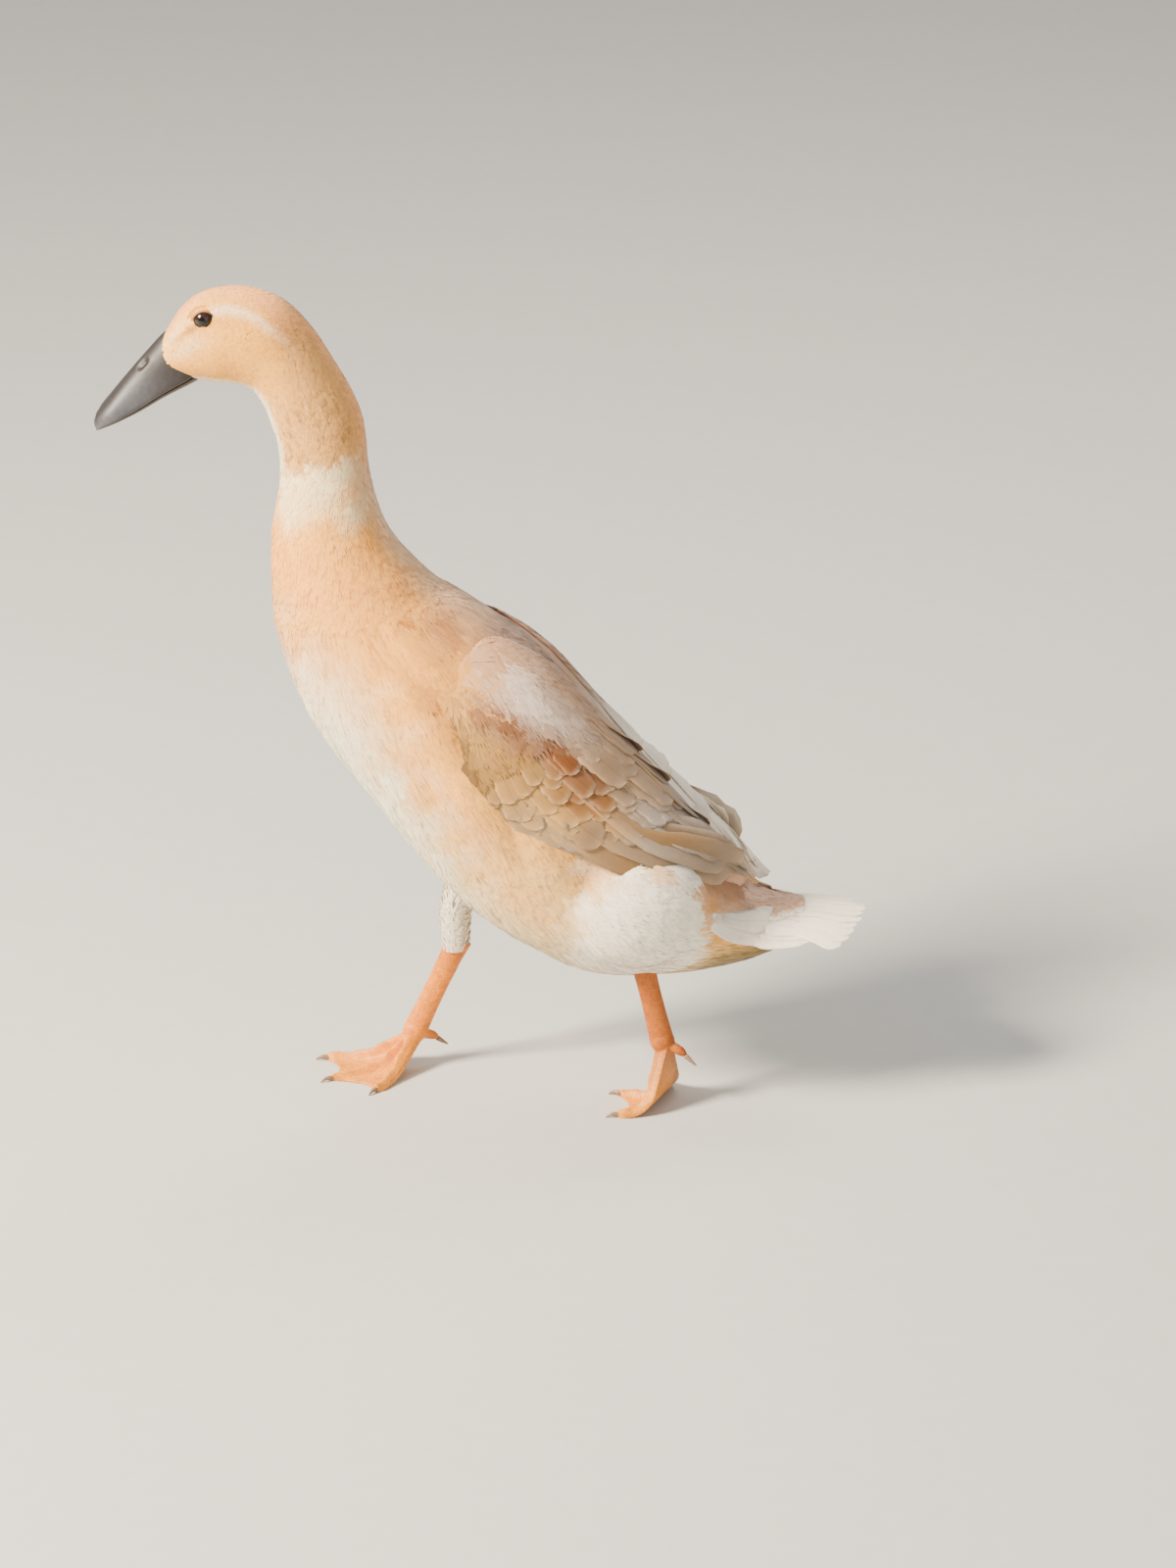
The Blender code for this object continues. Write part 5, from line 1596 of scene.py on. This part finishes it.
def painted(nodes):
    """The colours painted on the points."""
    return add_node(nodes, "ShaderNodeAttribute", attribute_name="Plumage").outputs["Color"]


def toned(nodes, space, tones, grain):
    """The painted colours made darker and lighter by noise: two tones, then its scale and detail."""
    paint = painted(nodes)
    noise = noise_in(nodes, space, *grain)
    tone = spread(nodes, noise, from_min=0.3, from_max=0.7, to_min=tones[0], to_max=tones[1])
    return product(nodes, paint, tone), noise


def bump_from(nodes, shader, height, strength, distance):
    """Bump the shader by a height output."""
    bump = add_node(nodes, "ShaderNodeBump", [("Height", height)], strength=strength, distance=distance)
    plug(shader, "Normal", bump.outputs["Normal"])


def grained(name, tones, grain, bump, **values):
    """A painted surface whose noise both tones its colour and raises its grain."""
    material, nodes, shader = new_material(name)
    colour, noise = toned(nodes, object_space(nodes), tones, grain)
    plug(shader, "Base Color", colour)
    set_shader(shader, **values)
    bump_from(nodes, shader, noise, *bump)
    return material


def ramped(name, grain, tints, **values):
    """A surface between two tints by noise, and that noise."""
    material, nodes, shader = new_material(name)
    noise = noise_in(nodes, object_space(nodes), *grain)
    ramp = add_node(nodes, "ShaderNodeValToRGB", [("Fac", noise)])
    for stop, colour in zip(ramp.color_ramp.elements, tints):
        stop.color = linear(colour) + [1.0]
    plug(shader, "Base Color", ramp.outputs["Color"])
    set_shader(shader, **values)
    return material, nodes, shader, noise


def body_feather():
    """Contour feathers: matt keratin barbs with a soft sheen at grazing angles."""
    return grained("contour feather", (0.93, 1.05), (700.0, 3.0), (0.25, 0.0003),
                   Roughness=0.75, Sheen_Weight=0.25, Sheen_Roughness=0.5, Specular_IOR_Level=0.25)


BARB_PITCH = 0.9        # real barbs are about 0.25 mm apart; wider here, so that they show
BARB_SLANT = 1.2        # how far a barb runs forwards for each millimetre out from the shaft


def flight_feather():
    """Wing and tail feathers: barbs run slantwise from the shaft, firm, with a faint satin."""
    material, nodes, shader = new_material("flight feather")
    colour, _ = toned(nodes, object_space(nodes), (0.95, 1.04), (300.0, 4.0))
    vane = add_node(nodes, "ShaderNodeUVMap", uv_map="Vane")
    parts = add_node(nodes, "ShaderNodeSeparateXYZ", [("Vector", vane.outputs["UV"])])
    side = add_node(nodes, "ShaderNodeMath", [(0, parts.outputs["X"])], operation="ABSOLUTE")
    slant = add_node(
        nodes, "ShaderNodeMath", [(0, side.outputs[0]), (2, parts.outputs["Y"])], operation="MULTIPLY_ADD")
    slant.inputs[1].default_value = -BARB_SLANT
    turns = add_node(nodes, "ShaderNodeMath", [(0, slant.outputs[0])], operation="MULTIPLY")
    turns.inputs[1].default_value = 2 * math.pi / BARB_PITCH
    wave = add_node(nodes, "ShaderNodeMath", [(0, turns.outputs[0])], operation="SINE")
    shaft = spread(nodes, side.outputs[0], from_min=0.15, from_max=0.5, to_min=0.82, to_max=1.0)
    barbs = spread(nodes, wave.outputs[0], from_min=-1.0, to_min=0.965, to_max=1.02)
    lines = product(nodes, shaft, barbs, "ShaderNodeMath")
    plug(shader, "Base Color", product(nodes, colour, lines))
    set_shader(shader, Roughness=0.62, Sheen_Weight=0.15, Sheen_Roughness=0.5, Specular_IOR_Level=0.35)
    bump_from(nodes, shader, wave.outputs[0], 0.2, 0.00012)
    return material


def under_skin():
    """Downy skin under the coat: the same markings, dull."""
    return grained("downy skin", (0.85, 1.0), (500.0, 3.0), (0.4, 0.0006),
                   Roughness=0.9, Specular_IOR_Level=0.2)


def leg_skin():
    """Scaly leg skin: small rounded scales about 1 mm wide, waxy, with paler middles."""
    material, nodes, shader = new_material("scaly leg skin")
    space = object_space(nodes)
    colour, _ = toned(nodes, space, (0.86, 1.08), (260.0, 3.0))
    scales = add_node(nodes, "ShaderNodeTexVoronoi", [("Vector", space)], scale=850.0)
    plates = spread(nodes, scales.outputs["Distance"], from_max=0.75, to_min=1.06, to_max=0.72)
    plug(shader, "Base Color", product(nodes, colour, plates))
    set_shader(shader, Roughness=0.5, Specular_IOR_Level=0.4, Subsurface_Weight=0.05,
               Subsurface_Scale=0.003, Subsurface_Radius=(1.0, 0.35, 0.1))
    bump_from(nodes, shader, plates, 0.45, 0.0004)
    return material


def lid_skin():
    """Thin pale eyelid skin with fine creases."""
    return grained("eyelid skin", (0.85, 1.1), (900.0, 3.0), (0.4, 0.0002),
                   Roughness=0.6, Specular_IOR_Level=0.3)


def bill_horn():
    """Slate bill: leathery skin over horn, satin, with faint mottling and pores."""
    return grained("slate bill horn", (0.85, 1.12), (350.0, 5.0), (0.18, 0.0004),
                   Roughness=0.48, Coat_Weight=0.08, Coat_Roughness=0.4, Specular_IOR_Level=0.4)


def eye_surface():
    """Wet eye: painted iris under a clear tear film."""
    material, nodes, shader = new_material("wet eye")
    plug(shader, "Base Color", painted(nodes))
    set_shader(shader, Roughness=0.2, Specular_IOR_Level=0.2, IOR=1.38,
               Coat_Weight=0.7, Coat_Roughness=0.02)
    return material


def claw_surface():
    """Claws: dark brown horn with fine growth lines."""
    material, nodes, shader, noise = ramped(
        "claw horn", (600.0, 3.0), CLAW_TINTS, Roughness=0.35, Specular_IOR_Level=0.5)
    bump_from(nodes, shader, noise, 0.2, 0.0002)
    return material


def floor_surface():
    """Plain pale studio floor, matt paper with a trace of grain."""
    return ramped("studio floor", (60.0, 4.0), FLOOR_TINTS, Roughness=0.9)[0]


# Stage

def make_stage():
    """A wide pale floor at the soles."""
    corners = FLOOR_HALF_SIZE * np.array(((-1, -1, 0), (1, -1, 0), (1, 1, 0), (-1, 1, 0)))
    mesh = mesh_of("floor", corners, [(0, 1, 2, 3)], flat=True)
    mesh.materials.append(floor_surface())
    placed("floor", mesh)


def aim(thing, place, target):
    """Put a lamp or camera at a place, looking at a target."""
    thing.location = Vector(place)
    thing.rotation_euler = (Vector(target) - Vector(place)).to_track_quat("-Z", "Y").to_euler()


def make_lights():
    """A broad warm key from above the duck's face, a cool fill from the camera, a rim from behind."""
    for name, place, size, power, colour in LAMPS:
        lamp = bpy.data.lights.new(name, "AREA")
        lamp.size = size
        lamp.energy = power
        lamp.color = linear(colour)
        aim(placed(name, lamp), place, LAMP_TARGET)
    world = bpy.data.worlds.new("studio")
    world.use_nodes = True
    sky = world.node_tree.nodes["Background"]
    sky.inputs["Color"].default_value = linear(SKY_TINT) + [1.0]
    sky.inputs["Strength"].default_value = SKY_STRENGTH
    bpy.context.scene.world = world


def make_camera():
    """The photo's view: from the duck's left, a little above."""
    target = np.array(VIEW_TARGET)
    back = np.array((math.cos(VIEW_ELEVATION), 0.0, math.sin(VIEW_ELEVATION)))
    place = (target + back * VIEW_DISTANCE - ORIGIN) * MM
    camera = bpy.data.cameras.new("camera")
    camera.lens = VIEW_LENS
    camera.sensor_width = 36.0
    holder = placed("camera", camera)
    aim(holder, place, (target - ORIGIN) * MM)
    bpy.context.scene.camera = holder


def main():
    """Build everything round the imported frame."""
    body = Surface(body_shape, (0.0, LAST, BODY_GRID[0]), (-math.pi, 2 * math.pi, BODY_GRID[1]))
    feather, flight = body_feather(), flight_feather()
    make_skin(body, [under_skin(), leg_skin(), lid_skin()])
    make_coat(body, feather)
    for side, leg in LEGS.items():
        thigh = Surface(lambda level, angle, leg=leg: thigh_shape(leg, level, angle),
                        (0.0, 3.0, THIGH_GRID[0]), (0.0, 2 * math.pi, THIGH_GRID[1]), flip=True)
        make_thigh_coat(side, leg, thigh, feather)
        wing = Surface(lambda along, across, side=side: wing_shape(side, along, across),
                       (0.0, 1.0, WING_GRID[0]), (0.0, 1.0, WING_GRID[1]), flip=side == "right")
        wing_coat(side, wing, feather)
        wing_feathers(side, wing, flight)
    tail_feathers(flight)
    horn = bill_horn()
    make_upper_bill(horn)
    make_lower_bill(horn)
    make_eyes(eye_surface())
    make_claws(claw_surface())
    make_stage()
    make_lights()
    make_camera()


main()
